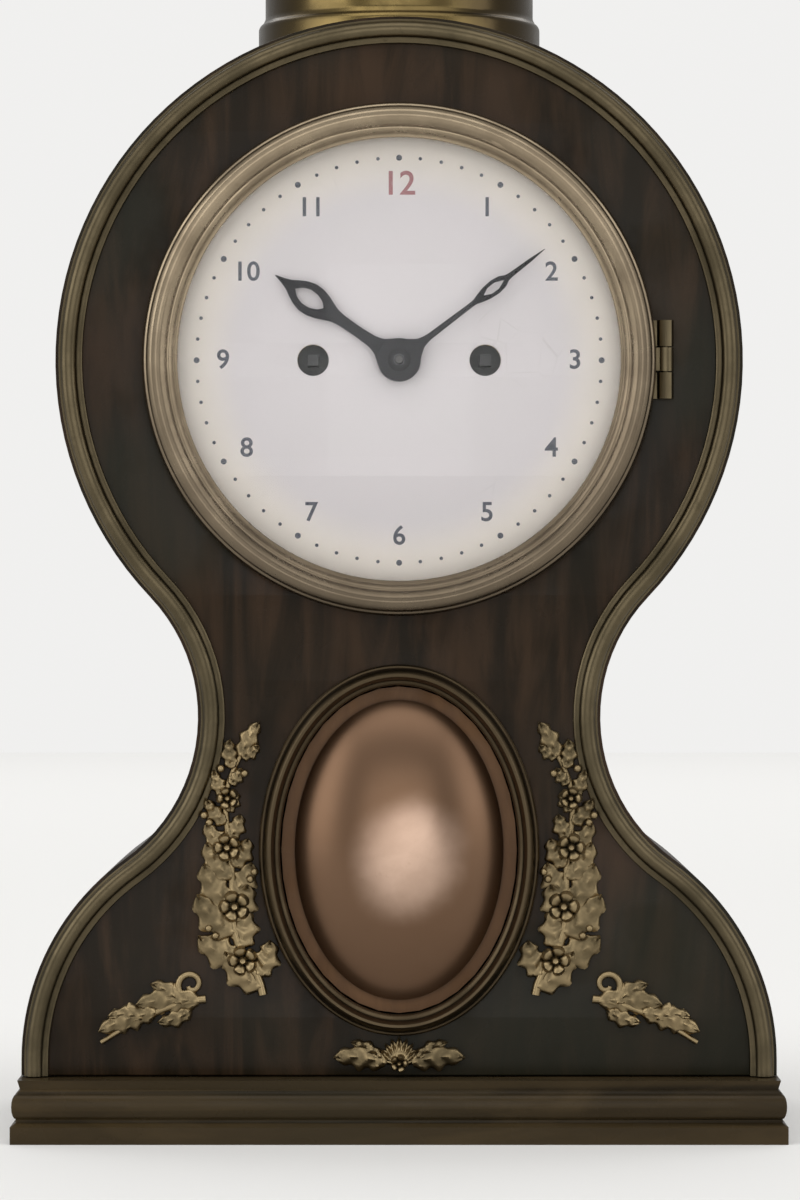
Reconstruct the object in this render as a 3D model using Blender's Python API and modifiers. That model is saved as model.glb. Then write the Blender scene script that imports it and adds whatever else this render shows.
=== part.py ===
"""A balloon clock: a waisted, bent-sided case with a round eight-day striking movement.

Metres, +Z up. The dial faces -Y and the origin is the middle of the plinth's underside.
"""

import math

import bmesh
import bpy

# Running gaps and cutting allowance
GAP = 0.0003
PIVOT_GAP = 0.00025
OVERRUN = 0.002

# Outline of the case, seen from the front: drum, waist and shoulder are three tangent arcs
DRUM_RADIUS = 0.0791
DRUM_HEIGHT = 0.1794
WAIST_HALF_WIDTH = 0.0463
SHOULDER_RADIUS = 0.0568
SHOULDER_REACH = 0.0301
SHOULDER_HEIGHT = 0.0184

# Case depth and walls
CASE_DEPTH = 0.092
FRONT_BOARD = 0.009
BACK_BOARD = 0.006
SKIN = 0.004
FLOOR_BOARD = 0.006

# Plinth
PLINTH_WIDTH = 0.1776
PLINTH_DEPTH = 0.114
PLINTH_HEIGHT = 0.0145
PLINTH_FOOT = 0.0044
PLINTH_LINE = 0.0012
PLINTH_BEAD = 0.0058
PLINTH_STEP = 0.0012
BEAD_STEP = 0.0003

# Brass bead round the edge of the front board
BEAD_WIDTH = 0.0056
BEAD_RISE = 0.0026
BEAD_INSET = 0.0007

# Pedestal and finial on the drum
SOCLE_RADIUS = 0.0325
SOCLE_HEIGHT = 0.0300
SOCLE_FOOT_FLARE = 0.0010
SOCLE_FOOT = 0.0060
CAP_RADIUS = 0.0350
CAP_HEIGHT = 0.0060
FINIAL_RADIUS = 0.0150
FINIAL_HEIGHT = 0.0400

# Oval boss and its frame, which fill the height between the plinth and the bezel
BOSS_HALF_WIDTH = 0.0240
BOSS_RISE = 0.0092
BOSS_ABOVE_BASE = 0.0092
BOSS_BELOW_BEZEL = 0.0111
WELL_MARGIN = 0.0034
FRAME_THICKNESS = 0.0048
WELL_PANEL = 0.0075

# Leaf mounts
MOUNT_THICKNESS = 0.0022
SPRAY_HALF_WIDTH = 0.0069
CORNER_HALF_WIDTH = 0.0034
SHELL_RADIUS = 0.0130
SHELL_RISE = 0.0046

# Bezel, glass and dial
BEZEL_RADIUS = 0.0589
SIGHT_RADIUS = 0.0499
BEZEL_RISE = 0.0062
BEZEL_LIP = 0.0010
GLASS_THICKNESS = 0.0014
GLASS_DOME = 0.0024
RING_FLANGE = 0.0018
RING_FLANGE_RADIUS = 0.0570
COLLAR_RADIUS = 0.0529
COLLAR_WALL = 0.0012
COLLAR_SHELF = 0.0024
DIAL_THICKNESS = 0.0013
DIAL_SINK = 0.0014
DIAL_PLATE = 0.0010
DIAL_FOOT_RADIUS = 0.0016
DIAL_FOOT_CIRCLE = 0.0360
WINDING_HOLE = 0.0036
HINGE_PIN = 0.0008
HINGE_KNUCKLE = 0.0019
HINGE_LENGTH = 0.0180

# Hands
HOUR_LENGTH = 0.0345
MINUTE_LENGTH = 0.0420
HAND_THICKNESS = 0.0006
HOUR_BOSS = 0.0042
MINUTE_BOSS = 0.0034
COLLET_RADIUS = 0.0026
COLLET_THICKNESS = 0.0010
HOUR_HAND_FROM_DIAL = 0.0012
HAND_STEP = 0.0014

# Movement
PLATE_RADIUS = 0.0410
PLATE = 0.0020
PLATE_SPACING = 0.0240
FRONT_PLATE_SETBACK = 0.0073
PILLAR_RADIUS = 0.0020
PILLAR_CIRCLE = 0.0365
WINDING_REACH = 0.0198
ARBOR = 0.0007
CENTRE_ARBOR = 0.0009
PIVOT = 0.0005
WINDING_ARBOR = 0.0018
WINDING_SQUARE = 0.0026
WHEEL = 0.0012
PINION = 0.0016

# Gear modules
MOTION_MODULE = 0.0006
BARREL_MODULE = 0.0006
CENTRE_MODULE = 0.00038
THIRD_MODULE = 0.00030
PIN_MODULE = 0.00037

# Escapement, pendulum and strike
ESCAPE_RADIUS = 0.0080
ANCHOR_HEIGHT = 0.0310
CRUTCH_LENGTH = 0.0250
PENDULUM_LENGTH = 0.1200
PENDULUM_ROD = 0.0009
PENDULUM_SETBACK = 0.0045
BOB_RADIUS = 0.0130
BOB_THICKNESS = 0.0060
BELL_RADIUS = 0.0300
BELL_DEPTH = 0.0150
BELL_WALL = 0.0012
BELL_SETBACK = 0.0110
STANDARD_RADIUS = 0.0018
HAMMER_HEAD_RADIUS = 0.0032
HAMMER_HEAD_LENGTH = 0.0070
HAMMER_ARM = 0.0011
RATCHET_RADIUS = 0.0060
PIN_CIRCLE = 0.0066
PIN_RADIUS = 0.0005
PIN_LENGTH = 0.0030
FLY_REACH = 0.0040
FLY_VANE = 0.0005
CRUTCH_THICKNESS = 0.0012
ANCHOR_BACK = 0.0016
SPRING_RISE = 0.0020
ROD_END = 0.0060
NUT_RADIUS = 0.0022
NUT_HEIGHT = 0.0020
COCK_WIDTH = 0.0090
COCK_HEIGHT = 0.0060
STANDARD_CIRCLE = 0.0360
CLICK_OUT = 0.0072
CLICK_UP = 0.0080
CLICK_BOSS = 0.0018

# Straps and the door at the back
STRAP_WIDTH = 0.0100
STRAP_THICKNESS = 0.0014
REAR_COLLAR_REACH = 0.0030
DOOR_RADIUS = 0.0550
DOOR_RIM = 0.0050
DOOR_RISE = 0.0034
DOOR_WALL = 0.0010
DOOR_KNOB = 0.0028

# Tooth counts
CANNON_TEETH = 10
MINUTE_WHEEL_TEETH = 30
MINUTE_PINION_TEETH = 8
HOUR_WHEEL_TEETH = 32
BARREL_TEETH = 48
SECOND_PINION_LEAVES = 8
SECOND_WHEEL_TEETH = 44
CENTRE_PINION_LEAVES = 8
CENTRE_WHEEL_TEETH = 72
THIRD_PINION_LEAVES = 6
THIRD_WHEEL_TEETH = 72
ESCAPE_PINION_LEAVES = 6
ESCAPE_TEETH = 36
STRIKE_WHEEL_TEETH = 32
PIN_PINION_LEAVES = 6
PIN_WHEEL_TEETH = 48
FLY_PINION_LEAVES = 6
LIFTING_PINS = 8
RATCHET_TEETH = 20

# Where things stand across the movement, as shares of the plate spacing from the front plate
SECOND_PLANE_SHARE = 0.07
CENTRE_PLANE_SHARE = 0.18
BARREL_PLANE_SHARE = 0.31
BARREL_END_SHARE = 0.83
ESCAPE_PLANE_SHARE = 0.48
THIRD_PLANE_SHARE = 0.91
PIN_PLANE_SHARE = 0.60
FLY_START_SHARE = 0.12
FLY_END_SHARE = 0.42

# Angles, in degrees
HOUR_ANGLE = 304.4
MINUTE_ANGLE = 52.8
PILLAR_ANGLES = (30, 150, 225, 315)
DIAL_FOOT_ANGLES = (25, 155, 270)
FLY_ANGLE = 75
PIN_WHEEL_ANGLE = 115
HAMMER_PIVOT_ANGLE = 161.5
HAMMER_HEAD_ANGLE = 130
STANDARD_ANGLE = -48
HAND_BOSS_START = 70
HAND_BOSS_END = -250
CLICK_BOSS_START = 50
CLICK_BOSS_END = 310

# How finely round things are drawn
FINE_STEPS = 36
ROUND_STEPS = 24
HOLE_STEPS = 16
SMALL_STEPS = 8
PIN_STEPS = 6
SEAT_STEPS = 96
SOCLE_STEPS = 32
BELL_STEPS = 28
FINIAL_STEPS = 20
FRAME_STEPS = 48
DOME_STEPS = 14
GLASS_RINGS = 4
DRUM_STEPS = 24
WAIST_STEPS = 11
SHOULDER_STEPS = 9
STEPS_A_LOBE = 4
SPRAY_LOBES = 5
CORNER_LOBES = 4
SHELL_LOBES = 9
HAND_BOSS_STEPS = 14
CLICK_BOSS_STEPS = 10
SHARP_ANGLE = 35

# Foot, belly and tip of each leaf: up from the base to the bezel, and across from the boss frame to the bead
SPRAY_SHARES = ((0.210, 0.382), (0.447, 0.366), (0.678, 0.433))
CORNER_SHARES = ((0.172, 0.408), (0.144, 0.624), (0.078, 0.853))

# Turned profiles and outlines, as shares of the sizes above
CAP_SHARES = ((0.0, 1.0), (0.80, 1.0), (0.86, 0.72), (1.0, 0.55), (1.0, 0.25), (0.92, 0.0), (0.0, 0.0))
FINIAL_SHARES = (
    (0.0, 1.0),
    (0.20, 0.97),
    (0.16, 0.90),
    (0.42, 0.86),
    (0.52, 0.80),
    (0.84, 0.74),
    (1.0, 0.62),
    (0.93, 0.48),
    (0.60, 0.34),
    (0.30, 0.28),
    (0.30, 0.20),
    (0.62, 0.14),
    (0.86, 0.07),
    (0.90, 0.0),
    (0.0, 0.0),
)
BEZEL_SHARES = ((0.20, 0.56), (0.48, 0.93), (0.66, 1.0), (0.86, 0.82), (1.0, 0.40))
HOUR_SHARES = ((0.22, 0.32), (0.50, 0.34), (0.64, 0.78), (0.74, 0.84), (0.86, 0.42), (1.0, 0.04))
MINUTE_SHARES = ((0.18, 0.26), (0.45, 0.22), (0.60, 0.40), (0.70, 0.52), (0.78, 0.24), (1.0, 0.06))
BELL_SHARES = ((1.0, 0.0), (0.97, 0.22), (0.90, 0.48), (0.76, 0.72), (0.52, 0.90), (0.25, 0.98))
LENS_SHARES = ((0.0, 0.50), (0.50, 0.40), (0.85, 0.22), (1.0, 0.12))
WHEEL_TOOTH_SHARES = (1.0, 0.0, 0.75, 1.45)
PINION_TOOTH_SHARES = (0.28, 0.12, 0.50, 1.10)
LOBE_DEPTH_SHARE = 0.30
TIP_SHARE = 0.18
SHELL_FLAT_SHARE = 0.32
COLLET_FRONT_SHARE = 0.7
KNOB_NECK_SHARE = 0.4
KNOB_HEAD_SHARE = 0.8
KNOB_FACE_SHARE = 0.7
ESCAPE_ROOT_SHARE = 0.84
ESCAPE_LEAN_SHARE = 0.55
RATCHET_PHASE_SHARE = 0.3
RATCHET_ROOT_SHARE = 0.88
RATCHET_STEEP_SHARE = 0.12
CLICK_NOSE_SHARE = 0.98
CLICK_SHOULDER_SHARES = (0.2, 0.8)
CLICK_THROAT_SHARES = (0.35, 0.5)
TAIL_PLANE_SHARE = 0.7
TAIL_REACH_SHARE = 3.0
ANCHOR_SPAN_SHARE = 0.84
ANCHOR_DROP_SHARE = 0.62
ANCHOR_KNEE_SHARE = 0.55
ANCHOR_CROWN_SHARE = 1.4
PALLET_INNER_SHARES = (0.84, 0.92)
ANCHOR_CROTCH_SHARE = 0.40
BRIDGE_SHARE = 0.9
STANDARD_BEND_SHARES = ((0.2, 0.3), (0.8, 1.0))

# Derived places
FRONT = -CASE_DEPTH / 2
BACK = CASE_DEPTH / 2
BOARD_BACK = FRONT + FRONT_BOARD
BODY_BASE = PLINTH_HEIGHT + GAP
DRUM_CENTRE = (0.0, DRUM_HEIGHT)
FLANGE_BACK = FRONT - GAP
FLANGE_FRONT = FLANGE_BACK - RING_FLANGE
BEZEL_BACK = FLANGE_FRONT - GAP
DIAL_FRONT = FRONT + DIAL_SINK
DIAL_BACK = DIAL_FRONT + DIAL_THICKNESS
DIAL_PLATE_BACK = DIAL_BACK + GAP + DIAL_PLATE
PLATE_FRONT = DIAL_PLATE_BACK + FRONT_PLATE_SETBACK
INSIDE_FRONT = PLATE_FRONT + PLATE
INSIDE_BACK = INSIDE_FRONT + PLATE_SPACING
PLATE_BACK = INSIDE_BACK + PLATE
PENDULUM_PLANE = PLATE_BACK + PENDULUM_SETBACK
BELL_MOUTH = PLATE_BACK + BELL_SETBACK
FACING_FRONT = (math.pi / 2, 0.0, 0.0)
TURN = 2 * math.pi
WELD = 0.000001


def clear_scene():
    for obj in list(bpy.data.objects):
        bpy.data.objects.remove(obj)


def new_collection(name):
    made = bpy.data.collections.new(name)
    bpy.context.scene.collection.children.link(made)
    return made


clear_scene()
CLOCK = new_collection("balloon_clock")
CUTTERS = new_collection("cutters")


def finish(name, colour, roughness, metallic):
    made = bpy.data.materials.new(name)
    made.use_nodes = True
    shader = made.node_tree.nodes["Principled BSDF"]
    shader.inputs["Base Color"].default_value = (*colour, 1.0)
    shader.inputs["Roughness"].default_value = roughness
    shader.inputs["Metallic"].default_value = metallic
    return made


def add_object(name, data, at, rotation, look):
    """A new part, with a finish of its own made from one of the looks."""
    obj = bpy.data.objects.new(name, data)
    obj.location = at
    obj.rotation_euler = rotation
    data.materials.append(finish(name + "_finish", *look))
    CLOCK.objects.link(obj)
    return obj


def flat(name, loops, y_front, y_back, look, at=(0.0, 0.0)):
    """A flat outline in the plane of the dial, with any inner loops as holes."""
    curve = bpy.data.curves.new(name, "CURVE")
    curve.dimensions = "2D"
    curve.fill_mode = "BOTH"
    curve.extrude = (y_back - y_front) / 2
    for loop in loops:
        spline = curve.splines.new("POLY")
        spline.points.add(len(loop) - 1)
        spline.use_cyclic_u = True
        for point, (x, z) in zip(spline.points, loop):
            point.co = (x, z, 0.0, 1.0)
    middle = (at[0], (y_front + y_back) / 2, at[1])
    return add_object(name, curve, middle, FACING_FRONT, look)


def screw(obj, steps):
    turn = obj.modifiers.new("turn", "SCREW")
    turn.axis = "Z"
    turn.steps = steps
    turn.render_steps = steps
    turn.use_merge_vertices = True
    turn.merge_threshold = WELD


def turned(name, profile, look, at=(0.0, 0.0), steps=ROUND_STEPS, upright=False):
    """A turned piece. The profile holds (radius, place along the axis) from the front to the back,
    or from the top to the bottom when upright. A profile that starts off the axis is a ring."""
    points = [(radius, 0.0, along if upright else -along) for radius, along in profile]
    edges = [(i, i + 1) for i in range(len(points) - 1)]
    if profile[0][0] > 0:
        edges.append((len(points) - 1, 0))
    mesh = bpy.data.meshes.new(name)
    mesh.from_pydata(points, edges, [])
    if upright:
        obj = add_object(name, mesh, (at[0], at[1], 0.0), (0.0, 0.0, 0.0), look)
    else:
        obj = add_object(name, mesh, (at[0], 0.0, at[1]), FACING_FRONT, look)
    screw(obj, steps)
    return smooth(as_mesh(obj))


def box(name, low, high, look):
    shape = bmesh.new()
    bmesh.ops.create_cube(shape, size=1.0)
    middle = [(a + b) / 2 for a, b in zip(low, high)]
    sides = [b - a for a, b in zip(low, high)]
    bmesh.ops.scale(shape, vec=sides, verts=shape.verts)
    mesh = bpy.data.meshes.new(name)
    shape.to_mesh(mesh)
    shape.free()
    return add_object(name, mesh, middle, (0.0, 0.0, 0.0), look)


def rod(name, points, radius, look, rounds=1, cyclic=False):
    """A round bar bent through the points."""
    curve = bpy.data.curves.new(name, "CURVE")
    curve.dimensions = "3D"
    curve.bevel_depth = radius
    curve.bevel_resolution = rounds
    curve.use_fill_caps = not cyclic
    spline = curve.splines.new("POLY")
    spline.points.add(len(points) - 1)
    spline.use_cyclic_u = cyclic
    for point, place in zip(spline.points, points):
        point.co = (*place, 1.0)
    return add_object(name, curve, (0.0, 0.0, 0.0), (0.0, 0.0, 0.0), look)


def as_mesh(obj):
    """The same piece as a closed mesh in the same place, with its modifiers worked in."""
    bpy.context.view_layer.update()
    graph = bpy.context.evaluated_depsgraph_get()
    mesh = bpy.data.meshes.new_from_object(obj.evaluated_get(graph))
    shape = bmesh.new()
    shape.from_mesh(mesh)
    bmesh.ops.remove_doubles(shape, verts=shape.verts, dist=WELD)
    shape.to_mesh(mesh)
    shape.free()
    name = obj.name
    made = bpy.data.objects.new(name + "_mesh", mesh)
    made.matrix_world = obj.matrix_world.copy()
    CLOCK.objects.link(made)
    bpy.data.objects.remove(obj)
    made.name = name
    return made


def put_away(obj):
    """Makes a piece a cutter: out of the model, still there to shape it."""
    obj = as_mesh(obj)
    CLOCK.objects.unlink(obj)
    CUTTERS.objects.link(obj)
    obj.hide_render = True
    obj.display_type = "WIRE"
    return obj


def combine(base, others, operation):
    base = as_mesh(base)
    for other in others:
        cut = base.modifiers.new(operation.lower(), "BOOLEAN")
        cut.operation = operation
        cut.solver = "EXACT"
        cut.object = put_away(other)
    return base


def fuse(base, others):
    return combine(base, others, "UNION")


def cut_from(base, others):
    return combine(base, others, "DIFFERENCE")


def smooth(obj):
    """Shades a finished mesh smooth, with its edges left sharp."""
    obj.data.shade_smooth()
    obj.data.set_sharp_from_angle(angle=math.radians(SHARP_ANGLE))
    return obj


def circle(radius, count, centre=(0.0, 0.0)):
    angles = [TURN * i / count for i in range(count)]
    return [(centre[0] + radius * math.cos(a), centre[1] + radius * math.sin(a)) for a in angles]


def ellipse(half_width, half_height, count, centre=(0.0, 0.0)):
    angles = [TURN * i / count for i in range(count)]
    return [
        (centre[0] + half_width * math.cos(a), centre[1] + half_height * math.sin(a)) for a in angles
    ]


def arc(centre, radius, start, end, count):
    """Points on an arc from one angle to another, both ends in."""
    steps = [start + (end - start) * i / count for i in range(count + 1)]
    return [(centre[0] + radius * math.cos(a), centre[1] + radius * math.sin(a)) for a in steps]


def polar(radius, degrees, centre=(0.0, 0.0)):
    angle = math.radians(degrees)
    return (centre[0] + radius * math.cos(angle), centre[1] + radius * math.sin(angle))


def in_drum(place):
    """A place given from the dial's centre, in the clock's frame."""
    return (place[0], place[1] + DRUM_HEIGHT)


def direction(a, b):
    return math.atan2(b[1] - a[1], b[0] - a[0])


def meeting_point(p, from_p, q, from_q, side):
    """The point at the two given distances from p and q, on the left (+1) or right (-1) of p to q."""
    apart = math.dist(p, q)
    along = (from_p**2 - from_q**2 + apart**2) / (2 * apart)
    off = side * math.sqrt(from_p**2 - along**2)
    ux, uz = (q[0] - p[0]) / apart, (q[1] - p[1]) / apart
    return (p[0] + along * ux - off * uz, p[1] + along * uz + off * ux)


# Looks: colour, roughness and how metallic
DARK_WOOD = ((0.030, 0.019, 0.013), 0.35, 0.0)
BROWN_WOOD = ((0.055, 0.032, 0.020), 0.45, 0.0)
PINE = ((0.30, 0.19, 0.10), 0.7, 0.0)
OLD_BRASS = ((0.33, 0.24, 0.13), 0.42, 1.0)
GILT = ((0.42, 0.30, 0.12), 0.38, 1.0)
COPPER = ((0.30, 0.15, 0.09), 0.28, 1.0)
CLEAN_BRASS = ((0.66, 0.50, 0.24), 0.3, 1.0)
STEEL = ((0.45, 0.45, 0.47), 0.3, 1.0)
BLUED = ((0.02, 0.022, 0.035), 0.35, 0.9)
ENAMEL = ((0.74, 0.73, 0.73), 0.25, 0.0)
CRYSTAL = ((0.9, 0.92, 0.92), 0.05, 0.0)
BELL_METAL = ((0.50, 0.42, 0.30), 0.3, 1.0)

# The case
SHOULDER_CENTRE = (SHOULDER_REACH, SHOULDER_HEIGHT)
PANEL_TOP = DRUM_HEIGHT - BEZEL_RADIUS
FRAME_LOW = BODY_BASE + BOSS_ABOVE_BASE
FRAME_HIGH = PANEL_TOP - BOSS_BELOW_BEZEL
FRAME_HALF_HEIGHT = (FRAME_HIGH - FRAME_LOW) / 2
WELL_HALF_HEIGHT = FRAME_HALF_HEIGHT - FRAME_THICKNESS
BOSS_HALF_HEIGHT = WELL_HALF_HEIGHT - WELL_MARGIN
BOSS_HEIGHT = (FRAME_HIGH + FRAME_LOW) / 2
BOSS_CENTRE = (0.0, BOSS_HEIGHT)
WELL_HALF_WIDTH = BOSS_HALF_WIDTH + WELL_MARGIN
FRAME_HALF_WIDTH = WELL_HALF_WIDTH + FRAME_THICKNESS
BODY_INSIDE_FRONT = BOARD_BACK + GAP
BODY_INSIDE_BACK = BACK - BACK_BOARD - GAP


def waist_arc():
    """Centre and radius of the arc that touches drum and shoulder and leaves the waist its width."""
    apart = DRUM_HEIGHT - SHOULDER_HEIGHT
    beside = WAIST_HALF_WIDTH - SHOULDER_REACH
    drum_rest = DRUM_RADIUS**2 - WAIST_HALF_WIDTH**2
    shoulder_rest = SHOULDER_RADIUS**2 - beside**2
    share = (SHOULDER_RADIUS - beside) / (DRUM_RADIUS - WAIST_HALF_WIDTH)
    square = apart**2 - shoulder_rest + share * drum_rest
    drop = square / (apart + math.sqrt(apart**2 - (1 - share) * square))
    radius = (drop**2 - drum_rest) / (2 * (DRUM_RADIUS - WAIST_HALF_WIDTH))
    return (WAIST_HALF_WIDTH + radius, DRUM_HEIGHT - drop), radius


WAIST_CENTRE, WAIST_RADIUS = waist_arc()


def half_outline(inset=0.0, split=0.0):
    """The right half of the case's outline, from the plinth up to the top of the drum."""
    drum = DRUM_RADIUS - inset
    waist = WAIST_RADIUS + inset
    shoulder = SHOULDER_RADIUS - inset
    from_shoulder = direction(SHOULDER_CENTRE, WAIST_CENTRE)
    from_drum = direction(DRUM_CENTRE, WAIST_CENTRE)
    top = math.pi / 2 - split / drum
    points = [(SHOULDER_REACH + shoulder, BODY_BASE)]
    points += arc(SHOULDER_CENTRE, shoulder, 0.0, from_shoulder, SHOULDER_STEPS)
    points += arc(WAIST_CENTRE, waist, from_shoulder + math.pi, from_drum + math.pi, WAIST_STEPS)[1:]
    points += arc(DRUM_CENTRE, drum, from_drum, top, DRUM_STEPS)[1:]
    return points


def mirrored(points):
    return [(-x, z) for x, z in reversed(points)]


def whole_outline(inset=0.0):
    right = half_outline(inset)
    return right + mirrored(right[:-1])


def make_plinth():
    """A cube drawn up into foot, line, bead and neck, each level drawn in from the full size."""
    levels = [
        (PLINTH_FOOT, 0.0),
        (PLINTH_FOOT, PLINTH_STEP),
        (PLINTH_FOOT + PLINTH_LINE, PLINTH_STEP),
        (PLINTH_FOOT + PLINTH_LINE, BEAD_STEP),
        (PLINTH_FOOT + PLINTH_LINE + PLINTH_BEAD, BEAD_STEP),
        (PLINTH_FOOT + PLINTH_LINE + PLINTH_BEAD, PLINTH_STEP),
        (PLINTH_HEIGHT, PLINTH_STEP),
    ]
    shape = bmesh.new()
    bmesh.ops.create_cube(shape, size=1.0)
    bmesh.ops.scale(shape, vec=(PLINTH_WIDTH, PLINTH_DEPTH, PLINTH_FOOT), verts=shape.verts)
    bmesh.ops.translate(shape, vec=(0.0, 0.0, PLINTH_FOOT / 2), verts=shape.verts)
    top = max(shape.faces, key=lambda face: face.calc_center_median().z)
    height, inset = levels[0]
    for next_height, next_inset in levels[1:]:
        top = bmesh.ops.extrude_discrete_faces(shape, faces=[top])["faces"][0]
        drawn = (PLINTH_WIDTH / 2 - next_inset) / (PLINTH_WIDTH / 2 - inset)
        drawn_back = (PLINTH_DEPTH / 2 - next_inset) / (PLINTH_DEPTH / 2 - inset)
        bmesh.ops.scale(shape, vec=(drawn, drawn_back, 1.0), verts=top.verts)
        bmesh.ops.translate(shape, vec=(0.0, 0.0, next_height - height), verts=top.verts)
        height, inset = next_height, next_inset
    mesh = bpy.data.meshes.new("plinth")
    shape.to_mesh(mesh)
    shape.free()
    add_object("plinth", mesh, (0.0, 0.0, 0.0), (0.0, 0.0, 0.0), DARK_WOOD)


def make_boards():
    bezel_hole = circle(COLLAR_RADIUS + GAP, FINE_STEPS, DRUM_CENTRE)
    well = ellipse(WELL_HALF_WIDTH, WELL_HALF_HEIGHT, FINE_STEPS, BOSS_CENTRE)
    flat("front_board", [whole_outline(), bezel_hole, well], FRONT, BOARD_BACK, DARK_WOOD)
    flat("back_board", [whole_outline(), bezel_hole], BACK - BACK_BOARD, BACK, BROWN_WOOD)
    half_floor = SHOULDER_REACH + SHOULDER_RADIUS - SKIN - GAP - GAP
    low = (-half_floor, BODY_INSIDE_FRONT, BODY_BASE)
    high = (half_floor, BODY_INSIDE_BACK, BODY_BASE + FLOOR_BOARD)
    box("floor_board", low, high, PINE)


def make_skins():
    """The two bent sides, which meet at the top of the drum."""
    right = half_outline(0.0, GAP) + list(reversed(half_outline(SKIN, GAP)))
    for name, loop in (("side_right", right), ("side_left", mirrored(right))):
        flat(name, [loop], BODY_INSIDE_FRONT, BODY_INSIDE_BACK, DARK_WOOD)


def make_edge_bead():
    """The brass bead that follows the edge of the front from plinth to plinth."""
    inner = whole_outline(BEAD_INSET + BEAD_WIDTH)
    loop = whole_outline(BEAD_INSET) + list(reversed(inner))
    flat("edge_bead", [loop], FRONT - GAP - BEAD_RISE, FRONT - GAP, OLD_BRASS)


def make_boss():
    """The domed oval boss in its well, on a panel, with a moulded frame round it."""
    panel_front = BOARD_BACK - WELL_PANEL
    panel = ellipse(WELL_HALF_WIDTH - GAP, WELL_HALF_HEIGHT - GAP, FINE_STEPS, BOSS_CENTRE)
    flat("boss_panel", [panel], panel_front, BOARD_BACK, BROWN_WOOD)
    shape = bmesh.new()
    bmesh.ops.create_uvsphere(shape, u_segments=ROUND_STEPS, v_segments=DOME_STEPS, radius=1.0)
    bmesh.ops.bisect_plane(
        shape,
        geom=shape.verts[:] + shape.edges[:] + shape.faces[:],
        plane_co=(0.0, 0.0, 0.0),
        plane_no=(0.0, 0.0, -1.0),
        clear_outer=True,
    )
    bmesh.ops.contextual_create(shape, geom=[e for e in shape.edges if e.is_boundary])
    bmesh.ops.scale(shape, vec=(BOSS_HALF_WIDTH, BOSS_HALF_HEIGHT, BOSS_RISE), verts=shape.verts)
    bmesh.ops.recalc_face_normals(shape, faces=shape.faces)
    mesh = bpy.data.meshes.new("boss")
    shape.to_mesh(mesh)
    shape.free()
    at = (0.0, panel_front - GAP, BOSS_HEIGHT)
    smooth(add_object("boss", mesh, at, FACING_FRONT, COPPER))
    half = FRAME_THICKNESS / 2
    ring = ellipse(WELL_HALF_WIDTH + half, WELL_HALF_HEIGHT + half, FRAME_STEPS, BOSS_CENTRE)
    path = [(x, FRONT - GAP - half, z) for x, z in ring]
    rod("boss_frame", path, half, OLD_BRASS, rounds=1, cyclic=True)


def curved_spine(foot, belly, tip, count):
    """Points on the parabola through three places, and the way across it at each."""
    found = []
    for i in range(count + 1):
        t = i / count
        weights = ((1 - t) * (1 - 2 * t), 4 * t * (1 - t), t * (2 * t - 1))
        slopes = (4 * t - 3, 4 - 8 * t, 4 * t - 1)
        place = [sum(w * p[k] for w, p in zip(weights, (foot, belly, tip))) for k in (0, 1)]
        along = [sum(w * p[k] for w, p in zip(slopes, (foot, belly, tip))) for k in (0, 1)]
        length = math.hypot(*along)
        found.append((place, (-along[1] / length, along[0] / length), t))
    return found


def leaf_outline(spine, half_width, lobes):
    """A leaf with lobed edges on a bent spine through its foot, belly and tip."""
    left, right = [], []
    for place, across, t in curved_spine(*spine, lobes * STEPS_A_LOBE):
        swell = math.sin(math.pi * (TIP_SHARE + t) / (1 + 2 * TIP_SHARE))
        wave = 1 - LOBE_DEPTH_SHARE * (1 + math.cos(TURN * lobes * t)) / 2
        reach = half_width * swell * wave
        left.append((place[0] + across[0] * reach, place[1] + across[1] * reach))
        right.append((place[0] - across[0] * reach, place[1] - across[1] * reach))
    return right + list(reversed(left))


def edge_at(height):
    """How far the case reaches sideways at a height below the middle of the drum."""
    shoulder_end = SHOULDER_HEIGHT + SHOULDER_RADIUS * math.sin(direction(SHOULDER_CENTRE, WAIST_CENTRE))
    drum_end = DRUM_HEIGHT + DRUM_RADIUS * math.sin(direction(DRUM_CENTRE, WAIST_CENTRE))
    if height < shoulder_end:
        return SHOULDER_REACH + math.sqrt(SHOULDER_RADIUS**2 - (height - SHOULDER_HEIGHT) ** 2)
    if height < drum_end:
        return WAIST_CENTRE[0] - math.sqrt(WAIST_RADIUS**2 - (height - WAIST_CENTRE[1]) ** 2)
    return math.sqrt(DRUM_RADIUS**2 - (height - DRUM_HEIGHT) ** 2)


def frame_at(height):
    """How far the boss frame reaches sideways at a height, or nothing above and below it."""
    share = min(1.0, abs(height - BOSS_HEIGHT) / FRAME_HALF_HEIGHT)
    return FRAME_HALF_WIDTH * math.sqrt(1 - share**2)


def on_front(up_share, across_share):
    """A place on the lower front, between plinth and bezel and between boss frame and bead."""
    height = BODY_BASE + up_share * (PANEL_TOP - BODY_BASE)
    inner = frame_at(height)
    outer = edge_at(height) - BEAD_INSET - BEAD_WIDTH
    return (inner + across_share * (outer - inner), height)


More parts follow.
